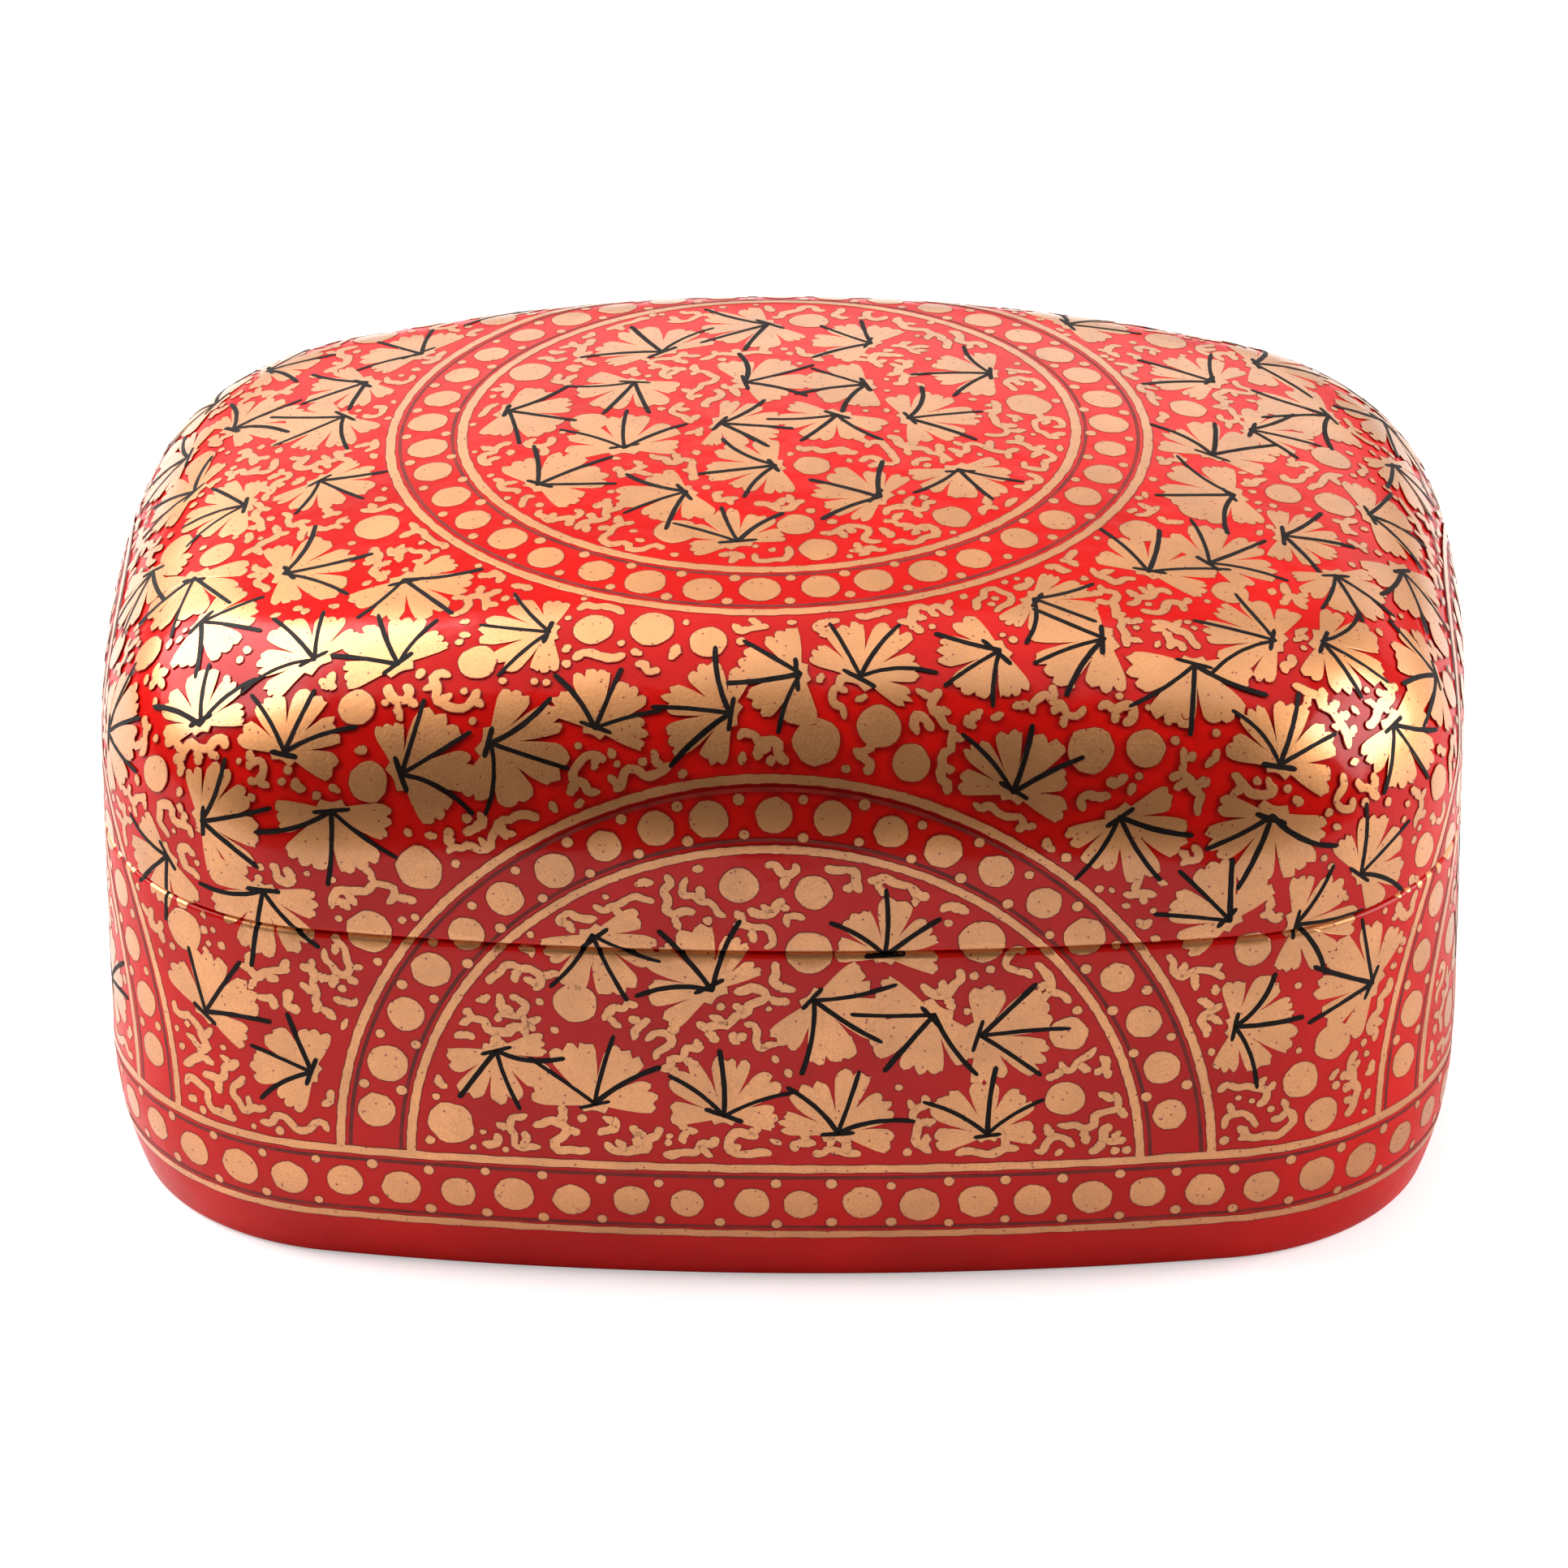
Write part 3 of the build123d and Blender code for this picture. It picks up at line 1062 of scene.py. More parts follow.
def vein_paths(skin, rng, leaves, length):
    """Three long strokes from the base of each leaf out past its tips, bending outwards, and one across the
    base."""
    places, first, second = leaf_frames(skin, leaves)
    paths = []
    for number, (place, _, size) in enumerate(leaves):
        strokes = []
        for side in (-1, 0, 1):
            along = np.linspace(-0.03, rng.uniform(1.04, 1.2) * (1 if side == 0 else 0.97), 5)
            lean = np.radians(side * rng.uniform(38, 52) + rng.uniform(-7, 7))
            bend = side * rng.uniform(0.05, 0.3) + rng.uniform(-0.12, 0.12)
            angle = lean + bend * along
            reach = along * length * size
            strokes.append(np.stack([reach * np.cos(angle), reach * np.sin(angle)], -1))
        half = rng.uniform(1.3, 1.9) * MM
        offset = rng.uniform(-0.3, 0.5) * MM
        tilt = rng.uniform(-0.35, 0.35)
        across = np.linspace(-half, half, 3)
        strokes.append(np.stack([offset + across * tilt, across], -1))
        for stroke in strokes:
            paths.append(place + stroke[:, :1] * first[number] + stroke[:, 1:] * second[number])
    return paths


def paint_object(name, shapes, material):
    """Makes one piece of what is painted on the lid and one of the rest.

    The shapes are cut at the saw cut, turned outwards and sunk into its rounded edges. Steep rims are shaded
    partly flat, and tops by the normals of the surface below them.
    """
    skin = shared_plan().skin
    vertices, faces = merge(*cut_at_seam(*join(shapes)))
    on_lid = vertices[faces, 2].mean(1) > SEAM
    corners = vertices[faces]
    facing = np.cross(corners[:, 1] - corners[:, 0], corners[:, 2] - corners[:, 0])
    facing /= np.linalg.norm(facing, axis=-1, keepdims=True) + 1e-15
    lean = np.sum(facing * skin.field(corners.mean(1))[1], -1)
    faces = np.where((lean < 0)[:, None], faces[:, ::-1], faces)
    facing *= np.sign(lean)[:, None]
    smooth = np.abs(lean) > TOP_LEAN
    outward = skin.field(vertices)[1]
    rims = unit(outward[faces] + 0.3 * facing[:, None])
    clear = (np.abs(vertices[:, 2] - SEAM) > 2 * CUT_REACH)[faces].all(1)
    normals = np.where(smooth[:, None, None], outward[faces], rims) * clear[:, None, None]
    level = unit(outward * [1, 1, 0] + [1e-9, 0, 0])
    vertices = vertices - level * skin.seam_inset(vertices[:, 2])[:, None]
    for body, chosen in (("lid", on_lid), ("base", ~on_lid)):
        if not chosen.any():
            continue
        used, local = np.unique(faces[chosen], return_inverse=True)
        piece = make_object(f"{name}_{body}", vertices[used], local.reshape(-1, 3), [material])
        piece.data.polygons.foreach_set("use_smooth", smooth[chosen])
        piece.data.normals_split_custom_set(normals[chosen].reshape(-1, 3))
        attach(piece, body)


def with_edge(rng, edge, draw):
    """The gold that draw paints and the dark edge under it, partly paint bleed and partly painted shade, both
    from the same random numbers.
    """
    state = rng.bit_generator.state
    gold = draw()
    rng.bit_generator.state = state
    return gold, draw(edge=edge)


def paint_gold(name, edge_name, pairs):
    """Makes the gold and the dark edge under it, partly paint bleed and partly painted shade, from pairs of
    their shapes.
    """
    gold, edges = zip(*pairs)
    paint_object(name, gold, shared_material("gold_paint"))
    paint_object(edge_name, edges, shared_material("edge_bleed_and_shade"))


# ---------------------------------------------------------------- finishes


def connect(tree, node, inputs):
    """Fills a node's sockets, given by name or as a list in their order, with values or links to outputs."""
    for name, value in inputs.items() if isinstance(inputs, dict) else enumerate(inputs):
        if isinstance(value, bpy.types.NodeSocket):
            tree.links.new(value, node.inputs[name])
        else:
            node.inputs[name].default_value = value


def add(tree, kind, inputs=(), output=None, **settings):
    """Adds one node with its settings and links, and gives the output asked for, or the first in use."""
    made = tree.nodes.new(kind)
    for name, value in settings.items():
        setattr(made, name, value)
    connect(tree, made, inputs)
    in_use = [socket for socket in made.outputs if socket.enabled]
    return made.outputs[output] if output else in_use[0]


def new_material(name, colour):
    """Material with a bare Principled shader: itself, its tree, its shader and Object coordinates."""
    material = bpy.data.materials.new(name)
    material.use_nodes = True
    material.diffuse_color = colour
    tree = material.node_tree
    return material, tree, tree.nodes["Principled BSDF"], add(tree, "ShaderNodeTexCoord", output="Object")


def blended(tree, pattern, low, high, first, second, most=1.0):
    """Colour that goes from the first to the second as a pattern goes from low to high, or part of the
    way."""
    share = add(tree, "ShaderNodeMapRange", (pattern, low, high, 0.0, most))
    return add(tree, "ShaderNodeMix", {"Factor": share, FIRST: first, SECOND: second}, data_type="RGBA")


def tone(colour, factor):
    """A colour made darker or lighter by a factor."""
    return (*[min(channel * factor, 1.0) for channel in colour[:3]], 1.0)


def red_lacquer(finish):
    """Red pigment in lacquer over sanded gesso, brushed on and varnished: a deep gloss whose coat is slightly
    wavy, over a ground that is a little uneven in tone."""
    red = tuple(finish.red)
    material, tree, shader, where = new_material("red_lacquer", red)
    # uneven pigment, patches of about 12 mm
    patches = add(tree, "ShaderNodeTexNoise", {"Vector": where, "Scale": 1 / (12 * MM), "Detail": 4.0})
    ground = blended(tree, patches, 0.3, 0.7, tone(red, 0.86), tone(red, 1.1))
    # specks of about 0.6 mm where gesso grit shows through the varnish
    specks = add(tree, "ShaderNodeTexNoise", {"Vector": where, "Scale": 1 / (0.6 * MM), "Detail": 2.0})
    colour = blended(tree, specks, 0.68, 0.8, ground, tone(red, 0.35), most=0.5)
    # waves of about 5 mm left by the hand-sanded paper below, and finer ones left by the brush
    waves = add(tree, "ShaderNodeTexNoise", {"Vector": where, "Scale": 1 / (5 * MM), "Detail": 2.0})
    fine = add(tree, "ShaderNodeTexNoise", {"Vector": where, "Scale": 1 / (0.9 * MM), "Detail": 2.0})
    swell = add(tree, "ShaderNodeBump", {"Height": waves, "Distance": 0.16 * MM, "Strength": 1.0})
    relief = {"Height": fine, "Distance": 0.012 * MM, "Strength": 1.0, "Normal": swell}
    brushed = add(tree, "ShaderNodeBump", relief)
    connect(tree, shader, {
        "Base Color": colour,
        "Roughness": add(tree, "ShaderNodeMapRange", (patches, 0.3, 0.7, 0.26, 0.34)),
        "IOR": 1.5,
        "Specular IOR Level": 0.0,
        "Normal": brushed,
        "Coat Weight": 0.7,
        "Coat Roughness": 0.17,
        "Coat IOR": 1.4,
        "Coat Normal": brushed,
    })
    return material


def gold_paint(finish):
    """Bronze powder bound in varnish and laid on by brush: a soft metal sheen that sparkles, with tiny dark
    pits and a tone that changes from stroke to stroke."""
    gold, edge = tuple(finish.gold), tuple(finish.edge)
    material, tree, shader, where = new_material("gold_paint", gold)
    # stroke to stroke, about 6 mm
    tones = add(tree, "ShaderNodeTexNoise", {"Vector": where, "Scale": 1 / (6 * MM), "Detail": 3.0})
    body = blended(tree, tones, 0.3, 0.7, tone(gold, 0.84), tone(gold, 1.08))
    # flakes of powder, drawn at 0.16 mm because the real ones are too fine to show
    flakes = add(tree, "ShaderNodeTexNoise", {"Vector": where, "Scale": 1 / (0.16 * MM), "Detail": 2.0})
    flaked = blended(tree, flakes, 0.4, 0.64, body, tone(gold, 0.6), most=0.35)
    # pits of about 0.25 mm, one to each 0.9 mm square
    pits = add(tree, "ShaderNodeTexVoronoi", {"Vector": where, "Scale": 1 / (0.9 * MM)})
    hole = add(tree, "ShaderNodeMapRange", (pits, 0.06, 0.17, 1.0, 0.0))
    pitted = {"Factor": hole, FIRST: flaked, SECOND: edge}
    # lumps of about 0.45 mm in the thick paint
    lumps = add(tree, "ShaderNodeTexNoise", {"Vector": where, "Scale": 1 / (0.45 * MM), "Detail": 3.0})
    lumpy = add(tree, "ShaderNodeBump", {"Height": lumps, "Distance": 0.02 * MM, "Strength": 0.7})
    relief = {"Height": flakes, "Distance": 0.012 * MM, "Strength": 0.7, "Normal": lumpy}
    connect(tree, shader, {
        "Base Color": add(tree, "ShaderNodeMix", pitted, data_type="RGBA"),
        "Metallic": add(tree, "ShaderNodeMapRange", (hole, 0.0, 1.0, 0.85, 0.2)),
        "Roughness": add(tree, "ShaderNodeMapRange", (flakes, 0.35, 0.65, 0.36, 0.52)),
        "Normal": add(tree, "ShaderNodeBump", relief),
        "Coat Weight": 1.0,
        "Coat Roughness": 0.18,
        "Coat IOR": 1.5,
    })
    return material


def flat_paint(name, colour, roughness, millimetres, spread, gloss=0.3):
    """Thin brushed paint or ink, uneven over a few millimetres where the brush ran dry."""
    material, tree, shader, where = new_material(name, colour)
    runs = add(tree, "ShaderNodeTexNoise", {"Vector": where, "Scale": 1 / (millimetres * MM), "Detail": 3.0})
    connect(tree, shader, {
        "Base Color": blended(tree, runs, 0.3, 0.7, tone(colour, 1 - spread), tone(colour, 1 + spread)),
        "Roughness": add(tree, "ShaderNodeMapRange", (runs, 0.3, 0.7, roughness - 0.06, roughness + 0.08)),
        "IOR": 1.5,
        "Specular IOR Level": gloss,
    })
    return material


def black_lacquer(finish):
    """Black lacquer brushed inside over layered paper: satin, with faint brush ridges and paper lumps."""
    colour = tuple(finish.inside)
    material, tree, shader, where = new_material("black_lacquer", colour)
    # ridges of about 5 mm along the stroke and under 1 mm across it
    stretched = add(tree, "ShaderNodeMapping", {"Vector": where, "Scale": (1.0, 1.0, 6.0)})
    ridges = add(tree, "ShaderNodeTexNoise", {"Vector": stretched, "Scale": 1 / (5 * MM), "Detail": 3.0})
    # lumps of about 9 mm in the paper
    lumps = add(tree, "ShaderNodeTexNoise", {"Vector": where, "Scale": 1 / (9 * MM), "Detail": 3.0})
    paper = add(tree, "ShaderNodeBump", {"Height": lumps, "Distance": 0.25 * MM, "Strength": 0.8})
    relief = {"Height": ridges, "Distance": 0.05 * MM, "Strength": 0.8, "Normal": paper}
    connect(tree, shader, {
        "Base Color": blended(tree, lumps, 0.3, 0.75, tone(colour, 0.8), tone(colour, 1.9)),
        "Roughness": add(tree, "ShaderNodeMapRange", (ridges, 0.3, 0.7, 0.28, 0.42)),
        "IOR": 1.5,
        "Normal": add(tree, "ShaderNodeBump", relief),
        "Coat Weight": 0.4,
        "Coat Roughness": 0.2,
    })
    return material


def velvet(finish):
    """Cotton velvet glued on card: short pile that lightens at a grazing look, stroked into soft patches."""
    colour = tuple(finish.velvet)
    material, tree, shader, where = new_material("velvet", colour)
    # patches stroked one way or the other, about 14 mm
    stroked = add(tree, "ShaderNodeTexNoise", {"Vector": where, "Scale": 1 / (14 * MM), "Detail": 3.0})
    body = blended(tree, stroked, 0.3, 0.7, tone(colour, 0.7), tone(colour, 1.25))
    # pile tufts, drawn at 0.35 mm because the real ones are too fine to show
    pile = add(tree, "ShaderNodeTexNoise", {"Vector": where, "Scale": 1 / (0.35 * MM), "Detail": 2.0})
    connect(tree, shader, {
        "Base Color": blended(tree, pile, 0.35, 0.65, body, tone(colour, 0.45), most=0.6),
        "Roughness": 0.95,
        "Normal": add(tree, "ShaderNodeBump", {"Height": pile, "Distance": 0.2 * MM, "Strength": 0.7}),
        "Sheen Weight": 0.6,
        "Sheen Roughness": 0.4,
        "Sheen Tint": (0.8, 0.25, 0.3, 1.0),
    })
    return material


def white_sweep():
    """Matt white paper sweep. The camera sees it as white apart from the shadow on it, and all white further
    out. Reflections see its floor a little darker, and a band of its wall glowing, as a lit wall would."""
    material, tree, shader, where = new_material("white_sweep", linear("F2F2F2"))
    path = tree.nodes.new("ShaderNodeLightPath").outputs
    fibres = add(tree, "ShaderNodeTexNoise", {"Vector": where, "Scale": 1 / (30 * MM), "Detail": 2.0})
    paper = blended(tree, fibres, 0.3, 0.7, linear("F0F0F0"), linear("F4F4F4"))
    mirrored = {"Factor": path["Is Glossy Ray"], FIRST: paper, SECOND: linear("E0E0E0")}
    connect(tree, shader, {
        "Base Color": add(tree, "ShaderNodeMix", mirrored, data_type="RGBA"),
        "Roughness": 0.9,
    })
    height = add(tree, "ShaderNodeSeparateXYZ", (where,), output="Z")
    rise = add(tree, "ShaderNodeMapRange", (height, 0.225, 0.45, 0.0, 0.9))
    fall = add(tree, "ShaderNodeMapRange", (height, 0.75, 1.125, 0.0, 0.75))
    wall = add(tree, "ShaderNodeMath", (rise, fall), operation="SUBTRACT")
    reflected = add(tree, "ShaderNodeMath", (path["Is Glossy Ray"], wall), operation="MULTIPLY")
    away = add(tree, "ShaderNodeVectorMath", (where,), operation="LENGTH")
    whiter = add(tree, "ShaderNodeMapRange", (away, 0.3, 0.7, 0.45, 1.0))
    seen = add(tree, "ShaderNodeMath", (path["Is Camera Ray"], whiter, reflected), operation="MULTIPLY_ADD")
    glow = add(tree, "ShaderNodeEmission", {"Color": (1, 1, 1, 1), "Strength": seen})
    both = add(tree, "ShaderNodeAddShader", (shader.outputs[0], glow))
    connect(tree, tree.nodes["Material Output"], {"Surface": both})
    return material


# ---------------------------------------------------------------- operators


@lru_cache(maxsize=None)
def shared_plan():
    """The layout of the ornament, worked out when it is first asked for."""
    scene = bpy.context.scene
    return Plan(scene.box_form, scene.box_ornament)


@lru_cache(maxsize=None)
def shared_material(name):
    """The material of that name, made when it is first asked for."""
    finish = bpy.context.scene.box_finish
    makers = {
        "red_lacquer": lambda: red_lacquer(finish),
        "gold_paint": lambda: gold_paint(finish),
        "black_lacquer": lambda: black_lacquer(finish),
        "velvet": lambda: velvet(finish),
        "black_ink": lambda: flat_paint(name, tuple(finish.ink), 0.5, 2, 0.5, 0.15),
        # dark film round the gold: partly paint bleed, partly painted shade
        "edge_bleed_and_shade": lambda: flat_paint(name, tuple(finish.edge), 0.4, 3, 0.25),
        "guide_ink": lambda: flat_paint(name, linear("7A1A10"), 0.45, 2, 0.4),
    }
    return makers[name]()


class BoxLid(bpy.types.Operator):
    """Makes the lacquered lid"""

    bl_idname = "papier_mache.lid"
    bl_label = "Lid"

    def execute(self, context):
        """Black lacquer goes on the rows of faces inside, and on those round the middle of the ceiling."""
        vertices, faces, inner_rows = lid_shape(Skin(context.scene.box_form))
        ceiling_middle = len(vertices) - 2
        inside = (faces.min(1) < (inner_rows - 1) * COLUMNS) | (faces == ceiling_middle).any(1)
        materials = [shared_material("red_lacquer"), shared_material("black_lacquer")]
        piece = make_object("lid_skin", vertices, faces, materials, inside)
        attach(piece, "lid")
        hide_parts("lid_shell")
        return {"FINISHED"}


class BoxTray(bpy.types.Operator):
    """Makes the lacquered tray"""

    bl_idname = "papier_mache.tray"
    bl_label = "Tray"

    def execute(self, context):
        """Black lacquer goes on the rows of faces inside, but not on those round the underside's middle."""
        vertices, faces, outer_rows = tray_shape(Skin(context.scene.box_form))
        underside_middle = len(vertices) - 2
        inside = (faces.max(1) >= outer_rows * COLUMNS) & ~(faces == underside_middle).any(1)
        materials = [shared_material("red_lacquer"), shared_material("black_lacquer")]
        piece = make_object("tray_skin", vertices, faces, materials, inside)
        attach(piece, "base")
        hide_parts("base_shell")
        return {"FINISHED"}


class BoxCollar(bpy.types.Operator):
    """Lacquers the glued collar"""

    bl_idname = "papier_mache.collar"
    bl_label = "Collar"

    def execute(self, context):
        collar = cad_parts["rim_collar"]
        for slot in collar.material_slots:
            slot.material = shared_material("black_lacquer")
        return {"FINISHED"}


class BoxLining(bpy.types.Operator):
    """Lays the velvet sheet on the tray floor"""

    bl_idname = "papier_mache.lining"
    bl_label = "Velvet sheet"

    def execute(self, context):
        """The sheet is the outline moved in, with a soft rounded edge and a top that is slightly uneven."""
        skin = Skin(context.scene.box_form)
        inset = HALF_WIDTH - LINING_HIGH.x
        half = (LINING_HIGH.z - LINING_LOW.z) / 2
        dip = 0.05 * MM
        rng = np.random.default_rng(context.scene.box_ornament.seed)
        rows = [ring_at(skin, inset + half, LINING_LOW.z) * [share, share, 1] for share in (0.2, 0.5, 0.8)]
        for turn in np.linspace(-pi / 2, pi / 2, 7):
            rows.append(ring_at(skin, inset + half * (1 - cos(turn)), LINING_LOW.z + half * (1 + sin(turn))))
        below_top = len(rows)
        for share in np.linspace(0.98, 0.05, 30):
            rows.append(ring_at(skin, inset + half, LINING_HIGH.z) * [share, share, 1])
        rows = np.array(rows)
        phase = rng.uniform(0, 2 * pi, 4)
        x, y = rows[below_top:, :, 0], rows[below_top:, :, 1]
        uneven = np.sin(x / (9 * MM) + phase[0]) * np.sin(y / (7 * MM) + phase[1])
        uneven += 0.5 * np.sin(x / (4 * MM) + y / (5 * MM) + phase[2])
        rows[below_top:, :, 2] -= dip * (1 + uneven / 1.5)
        vertices, faces = closed_grid(rows, (0, 0, LINING_LOW.z), (0, 0, LINING_HIGH.z - dip))
        piece = make_object("velvet_sheet", vertices, faces, [shared_material("velvet")])
        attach(piece, "base")
        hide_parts("floor_lining")
        edge = ring_at(skin, inset, 0)
        return {"FINISHED"}


class BoxBands(bpy.types.Operator):
    """Paints the bead bands: the ring on the crown, the four arches and the band round the foot"""

    bl_idname = "papier_mache.bands"
    bl_label = "Bead bands"

    guide_half_width = 0.09 * MM
    first_bead = 4.5 * MM
    dots_from_line = 1.55 * MM
    bead_scatter = 0.16 * MM
    dot_scatter = 0.14 * MM

    def execute(self, context):
        """Gold lines, brown guide lines inside them, and beads along the middle with dots between."""
        paint = context.scene.box_ornament
        skin = shared_plan().skin
        rng = np.random.default_rng(paint.seed + 1)
        pairs = []
        for points, closed in band_lines(skin, paint):
            half = paint.line / 2 * rng.uniform(0.9, 1.1)
            draw = partial(long_line, skin, rng, points, half, closed, paint.paint)
            pairs.append(with_edge(rng, paint.outline, draw))
        brown = []
        guides = {"top_in": 0.95 * MM, "bottom_in": 0.9 * MM, "arch_in": 0.95 * MM, "ring_in": 0.9 * MM}
        for points, closed in band_lines(skin, paint, **guides):
            brown.append(long_line(skin, rng, points, self.guide_half_width, closed, 0, paint.outline))
        beads, dots = self.places(skin, rng, paint)
        for spots, size, count in ((beads, paint.bead, 16), (dots, paint.dot, 8)):
            radii = size / 2 * rng.uniform(0.88, 1.1, len(spots))
            rims = 1 + 0.025 * rng.normal(size=(len(spots), count))
            turns = rng.uniform(0, 2 * pi, len(spots))
            draw = partial(blob_shape, skin, spots, turns, radii, rims, paint.paint)
            pairs.append(with_edge(rng, paint.outline, draw))
        # the edge pieces are the dark film round the gold, partly paint bleed and partly painted shade
        paint_gold("bead_bands", "bead_band_bleed_and_shade", pairs)
        paint_object("guide_lines", brown, shared_material("guide_ink"))
        return {"FINISHED"}

    def places(self, skin, rng, paint):
        """Places of the beads, each a little off its even spacing, and of the two rows of dots between."""
        beads, dots = [], []
        for points, closed, half in band_middles(skin, paint):
            at, ahead = even_places(points, closed, paint.bead_step, self.first_bead)
            _, normals = skin.settle(at, 1)
            side = np.cross(normals, ahead)
            each = (len(at), 1)
            forward = rng.normal(0, self.bead_scatter, each)
            at = at + ahead * forward + side * rng.normal(0, self.bead_scatter, each)
            beads.append(at)
            between_beads = (at + np.roll(at, -1, axis=0)) / 2
            keep = slice(None) if closed else slice(0, -1)
            for way in (-1, 1):
                offset = way * (half - self.dots_from_line) + rng.normal(0, self.dot_scatter, each)
                dots.append((between_beads + side * offset)[keep])
        return np.concatenate(beads), np.concatenate(dots)


class BoxLeaves(bpy.types.Operator):
    """Paints the chinar leaves and the loose discs among them"""

    bl_idname = "papier_mache.leaves"
    bl_label = "Leaves and discs"

    def execute(self, context):
        """Each leaf gets a rim of its own, and each disc one that three waves and some noise make uneven."""
        paint = context.scene.box_ornament
        plan = shared_plan()
        rng = np.random.default_rng(paint.seed + 2)
        rims = [leaf_rim(rng, paint.leaf * leaf[2]) for leaf in plan.leaves]
        leaves = partial(leaf_shape, plan.skin, rims, plan.leaves, paint.paint)
        places = np.array([disc[0] for disc in plan.discs])
        turns = np.array([disc[1] for disc in plan.discs])
        radii = paint.disc / 2 * np.array([disc[2] for disc in plan.discs])
        around = np.arange(20) * 2 * pi / 20
        each = (len(places), 1)
        uneven = 1 + 0.018 * rng.normal(size=(len(places), 20))
        for waves in (2, 3, 5):
            phase = rng.uniform(0, 2 * pi, each)
            uneven += rng.uniform(0.0, 0.035, each) * np.sin(waves * around + phase)
        discs = partial(blob_shape, plan.skin, places, turns, radii, uneven, paint.paint)
        # the edge pieces are the dark film round the gold, partly paint bleed and partly painted shade
        paint_gold("leaves", "leaf_bleed_and_shade", [with_edge(rng, paint.outline, draw) for draw in (leaves, discs)])
        return {"FINISHED"}


class BoxVeins(bpy.types.Operator):
    """Inks the black veins on the leaves"""

    bl_idname = "papier_mache.veins"
    bl_label = "Leaf veins"

    def execute(self, context):
        paint = context.scene.box_ornament
        plan = shared_plan()
        rng = np.random.default_rng(paint.seed + 3)
        paths = vein_paths(plan.skin, rng, plan.leaves, paint.leaf)
        lift = 1.6 * paint.paint
        veins = strokes_shape(plan.skin, rng, paths, paint.ink, lift, samples=18, knobs=0.07)
        paint_object("veins", [veins], shared_material("black_ink"))
        return {"FINISHED"}


class BoxStrokes(bpy.types.Operator):
    """Paints the gold squiggles and dots that fill the ground between the leaves"""

    bl_idname = "papier_mache.strokes"
    bl_label = "Filling strokes"

    def execute(self, context):
        """Squiggles, then short dashes with a thinner brush, then dots."""
        paint = context.scene.box_ornament
        plan = shared_plan()
        rng = np.random.default_rng(paint.seed + 4)
        pairs = []
        for paths, width, samples, knobs in (
            (plan.strokes, paint.stroke, 24, 0.16),
            (plan.dashes, 0.75 * paint.stroke, 14, 0.14),
        ):
            draw = partial(strokes_shape, plan.skin, rng, paths, width, paint.paint, samples, knobs)
            pairs.append(with_edge(rng, paint.outline, draw))
        places = np.array(plan.dots)
        radii = paint.dot / 2 * rng.uniform(0.6, 0.95, len(places))
        rims = 1 + 0.09 * rng.normal(size=(len(places), 8))
        turns = rng.uniform(0, 2 * pi, len(places))
        draw = partial(blob_shape, plan.skin, places, turns, radii, rims, paint.paint)
        pairs.append(with_edge(rng, paint.outline, draw))
        # the edge pieces are the dark film round the gold, partly paint bleed and partly painted shade
        paint_gold("filling_strokes", "filling_bleed_and_shade", pairs)
        return {"FINISHED"}


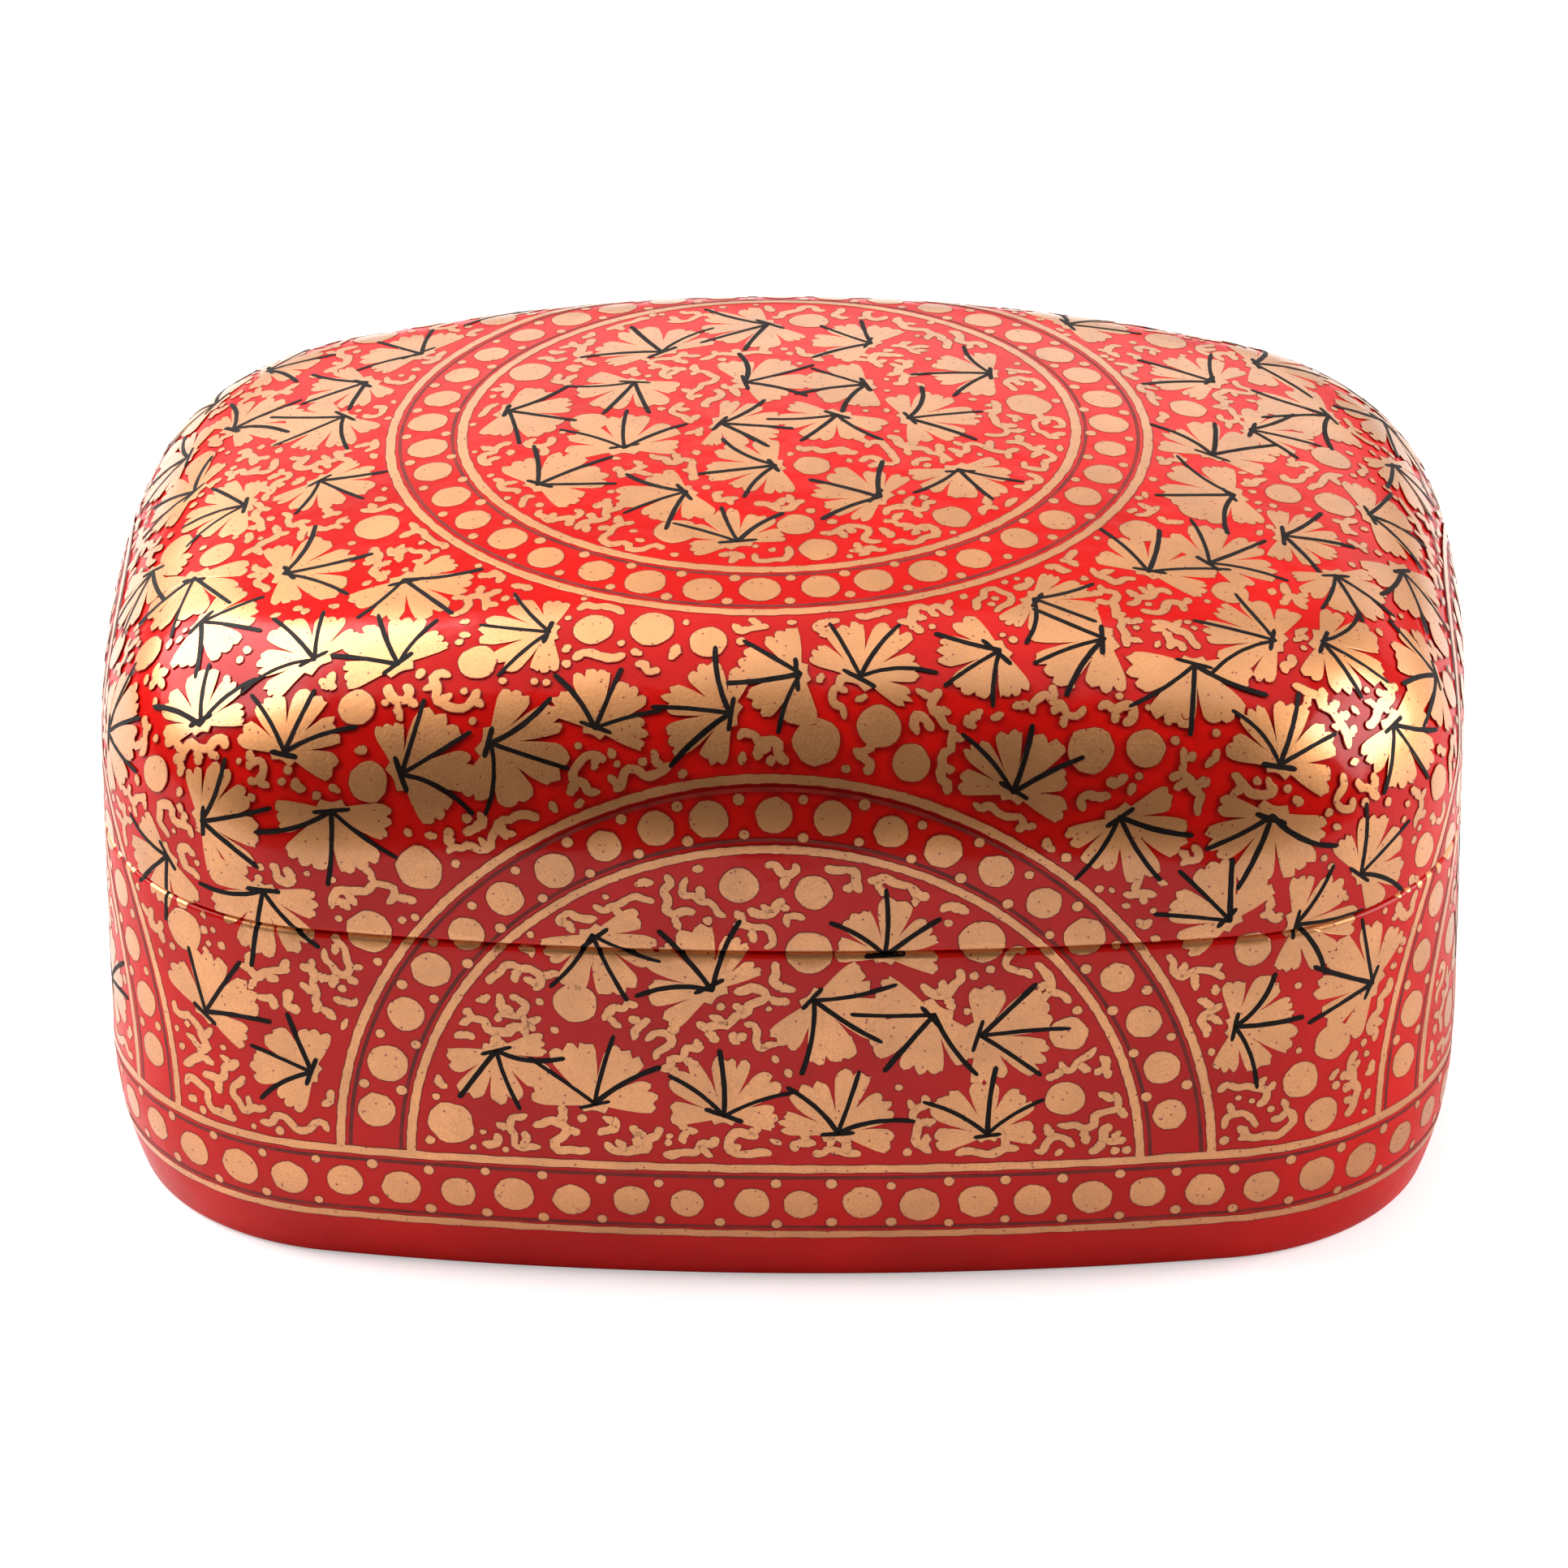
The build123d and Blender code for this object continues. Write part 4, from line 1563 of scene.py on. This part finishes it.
class BoxStage(bpy.types.Operator):
    """Sets the white sweep, the soft lamps and the camera"""

    bl_idname = "papier_mache.stage"
    bl_label = "Stage"

    floor_depth = 0.05 * MM

    def execute(self, context):
        scene = context.scene
        self.sweep()
        self.lamp("overhead", (0, 0.22, 0.9), target=(0, 0.22, 0), size=(1.4, 1.0), watts=4.25)
        self.lamp("left", (-0.70, 0.24, 0.66), target=(0, 0, 0.03), size=(1.0, 0.9), watts=17.0)
        self.lamp("right", (0.93, 0.03, 0.44), target=(0, 0, 0.03), size=(0.7, 0.6), watts=9.5)
        self.world(scene)
        self.camera(scene)
        scene.view_settings.view_transform = "Standard"
        return {"FINISHED"}

    def world(self, scene):
        """A weak warm light all round, which the camera sees as white."""
        world = bpy.data.worlds.new("studio")
        world.use_nodes = True
        tree = world.node_tree
        around = tree.nodes["Background"]
        connect(tree, around, {"Color": (1.0, 0.84, 0.7, 1), "Strength": 0.1})
        white = add(tree, "ShaderNodeBackground", {"Color": (1, 1, 1, 1), "Strength": 1.0})
        seen = add(tree, "ShaderNodeLightPath", output="Is Camera Ray")
        chosen = add(tree, "ShaderNodeMixShader", (seen, around.outputs[0], white))
        connect(tree, tree.nodes["World Output"], {"Surface": chosen})
        scene.world = world

    def sweep(self):
        """A floor that curves up into a wall behind: a line, a quarter circle and a line, carried across. It
        lies a hair below the box, so that the two don't share a plane."""
        front, back, radius, top, half_width = -0.14, 1.0, 0.5, 2.0, 2.2
        turn = np.linspace(0, pi / 2, 24)
        across = np.concatenate([[front], back + radius * np.sin(turn), [back + radius]])
        rise = np.concatenate([[0.0], radius * (1 - np.cos(turn)), [top]]) - self.floor_depth
        profile = np.stack([np.zeros(len(across)), across, rise], -1)
        points = profile[:, None] + np.array([[-half_width, 0, 0], [half_width, 0, 0]])[None]
        faces = grid_faces(np.arange(2 * len(profile)).reshape(len(profile), 2)[:, ::-1])
        floor = make_object("sweep", points.reshape(-1, 3), faces, [white_sweep()])

    def lamp(self, name, place, target, size, watts):
        """A soft rectangular lamp that points at a target."""
        light = bpy.data.lights.new(name, "AREA")
        light.shape = "RECTANGLE"
        light.size, light.size_y = size
        light.energy = watts
        lamp = bpy.data.objects.new(name, light)
        lamp.location = place
        lamp.rotation_euler = (Vector(target) - Vector(place)).to_track_quat("-Z", "Y").to_euler()
        bpy.context.scene.collection.objects.link(lamp)

    def camera(self, scene):
        """A long lens that looks down on the front from a little to the right, with a slight roll."""
        lens = bpy.data.cameras.new("camera")
        lens.sensor_width = 36
        lens.lens = 225.4
        lens.clip_start = 0.05
        camera = bpy.data.objects.new("camera", lens)
        pitch, yaw, roll, far = radians(28.42), 0.027, -0.006, 0.9255
        middle = Vector((0, 0, 34.9 * MM))
        aim = Vector((-0.2 * MM, 0, 27.7 * MM))
        away = Vector((cos(pitch) * sin(yaw), -cos(pitch) * cos(yaw), sin(pitch)))
        place = middle + far * away
        turn = (aim - place).to_track_quat("-Z", "Y").to_matrix() @ Matrix.Rotation(roll, 3, "Z")
        camera.matrix_world = Matrix.LocRotScale(place, turn.to_quaternion(), None)
        scene.collection.objects.link(camera)
        scene.camera = camera


class BoxPanel(bpy.types.Panel):
    """Lists the pieces of the box"""

    bl_idname = "VIEW3D_PT_papier_mache"
    bl_label = "Papier mache box"
    bl_space_type = "VIEW_3D"
    bl_region_type = "UI"
    bl_category = "Papier mache"

    def draw(self, context):
        for operator in OPERATORS:
            self.layout.operator(operator.bl_idname)
        for group in ("box_form", "box_ornament", "box_finish"):
            settings = getattr(context.scene, group)
            box = self.layout.box()
            for name in settings.bl_rna.properties.keys():
                if name not in ("rna_type", "name"):
                    box.prop(settings, name)


GROUPS = {"box_form": BoxForm, "box_ornament": Ornament, "box_finish": Finish}
OPERATORS = (BoxLid, BoxTray, BoxCollar, BoxLining, BoxBands, BoxLeaves, BoxVeins, BoxStrokes, BoxStage)


def register():
    """Registers the settings on the scene, the operators and the panel."""
    for name, group in GROUPS.items():
        bpy.utils.register_class(group)
        setattr(bpy.types.Scene, name, PointerProperty(type=group))
    for operator in OPERATORS:
        bpy.utils.register_class(operator)
    bpy.utils.register_class(BoxPanel)


def unregister():
    """Takes all of it back in the opposite order."""
    bpy.utils.unregister_class(BoxPanel)
    for operator in reversed(OPERATORS):
        bpy.utils.unregister_class(operator)
    for name, group in GROUPS.items():
        delattr(bpy.types.Scene, name)
        bpy.utils.unregister_class(group)


def main():
    """Makes the whole box and its stage."""
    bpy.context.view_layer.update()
    register()
    bpy.ops.papier_mache.lid()
    bpy.ops.papier_mache.tray()
    bpy.ops.papier_mache.collar()
    bpy.ops.papier_mache.lining()
    bpy.ops.papier_mache.bands()
    bpy.ops.papier_mache.leaves()
    bpy.ops.papier_mache.veins()
    bpy.ops.papier_mache.strokes()
    bpy.ops.papier_mache.stage()


if __name__ == "__main__":
    main()
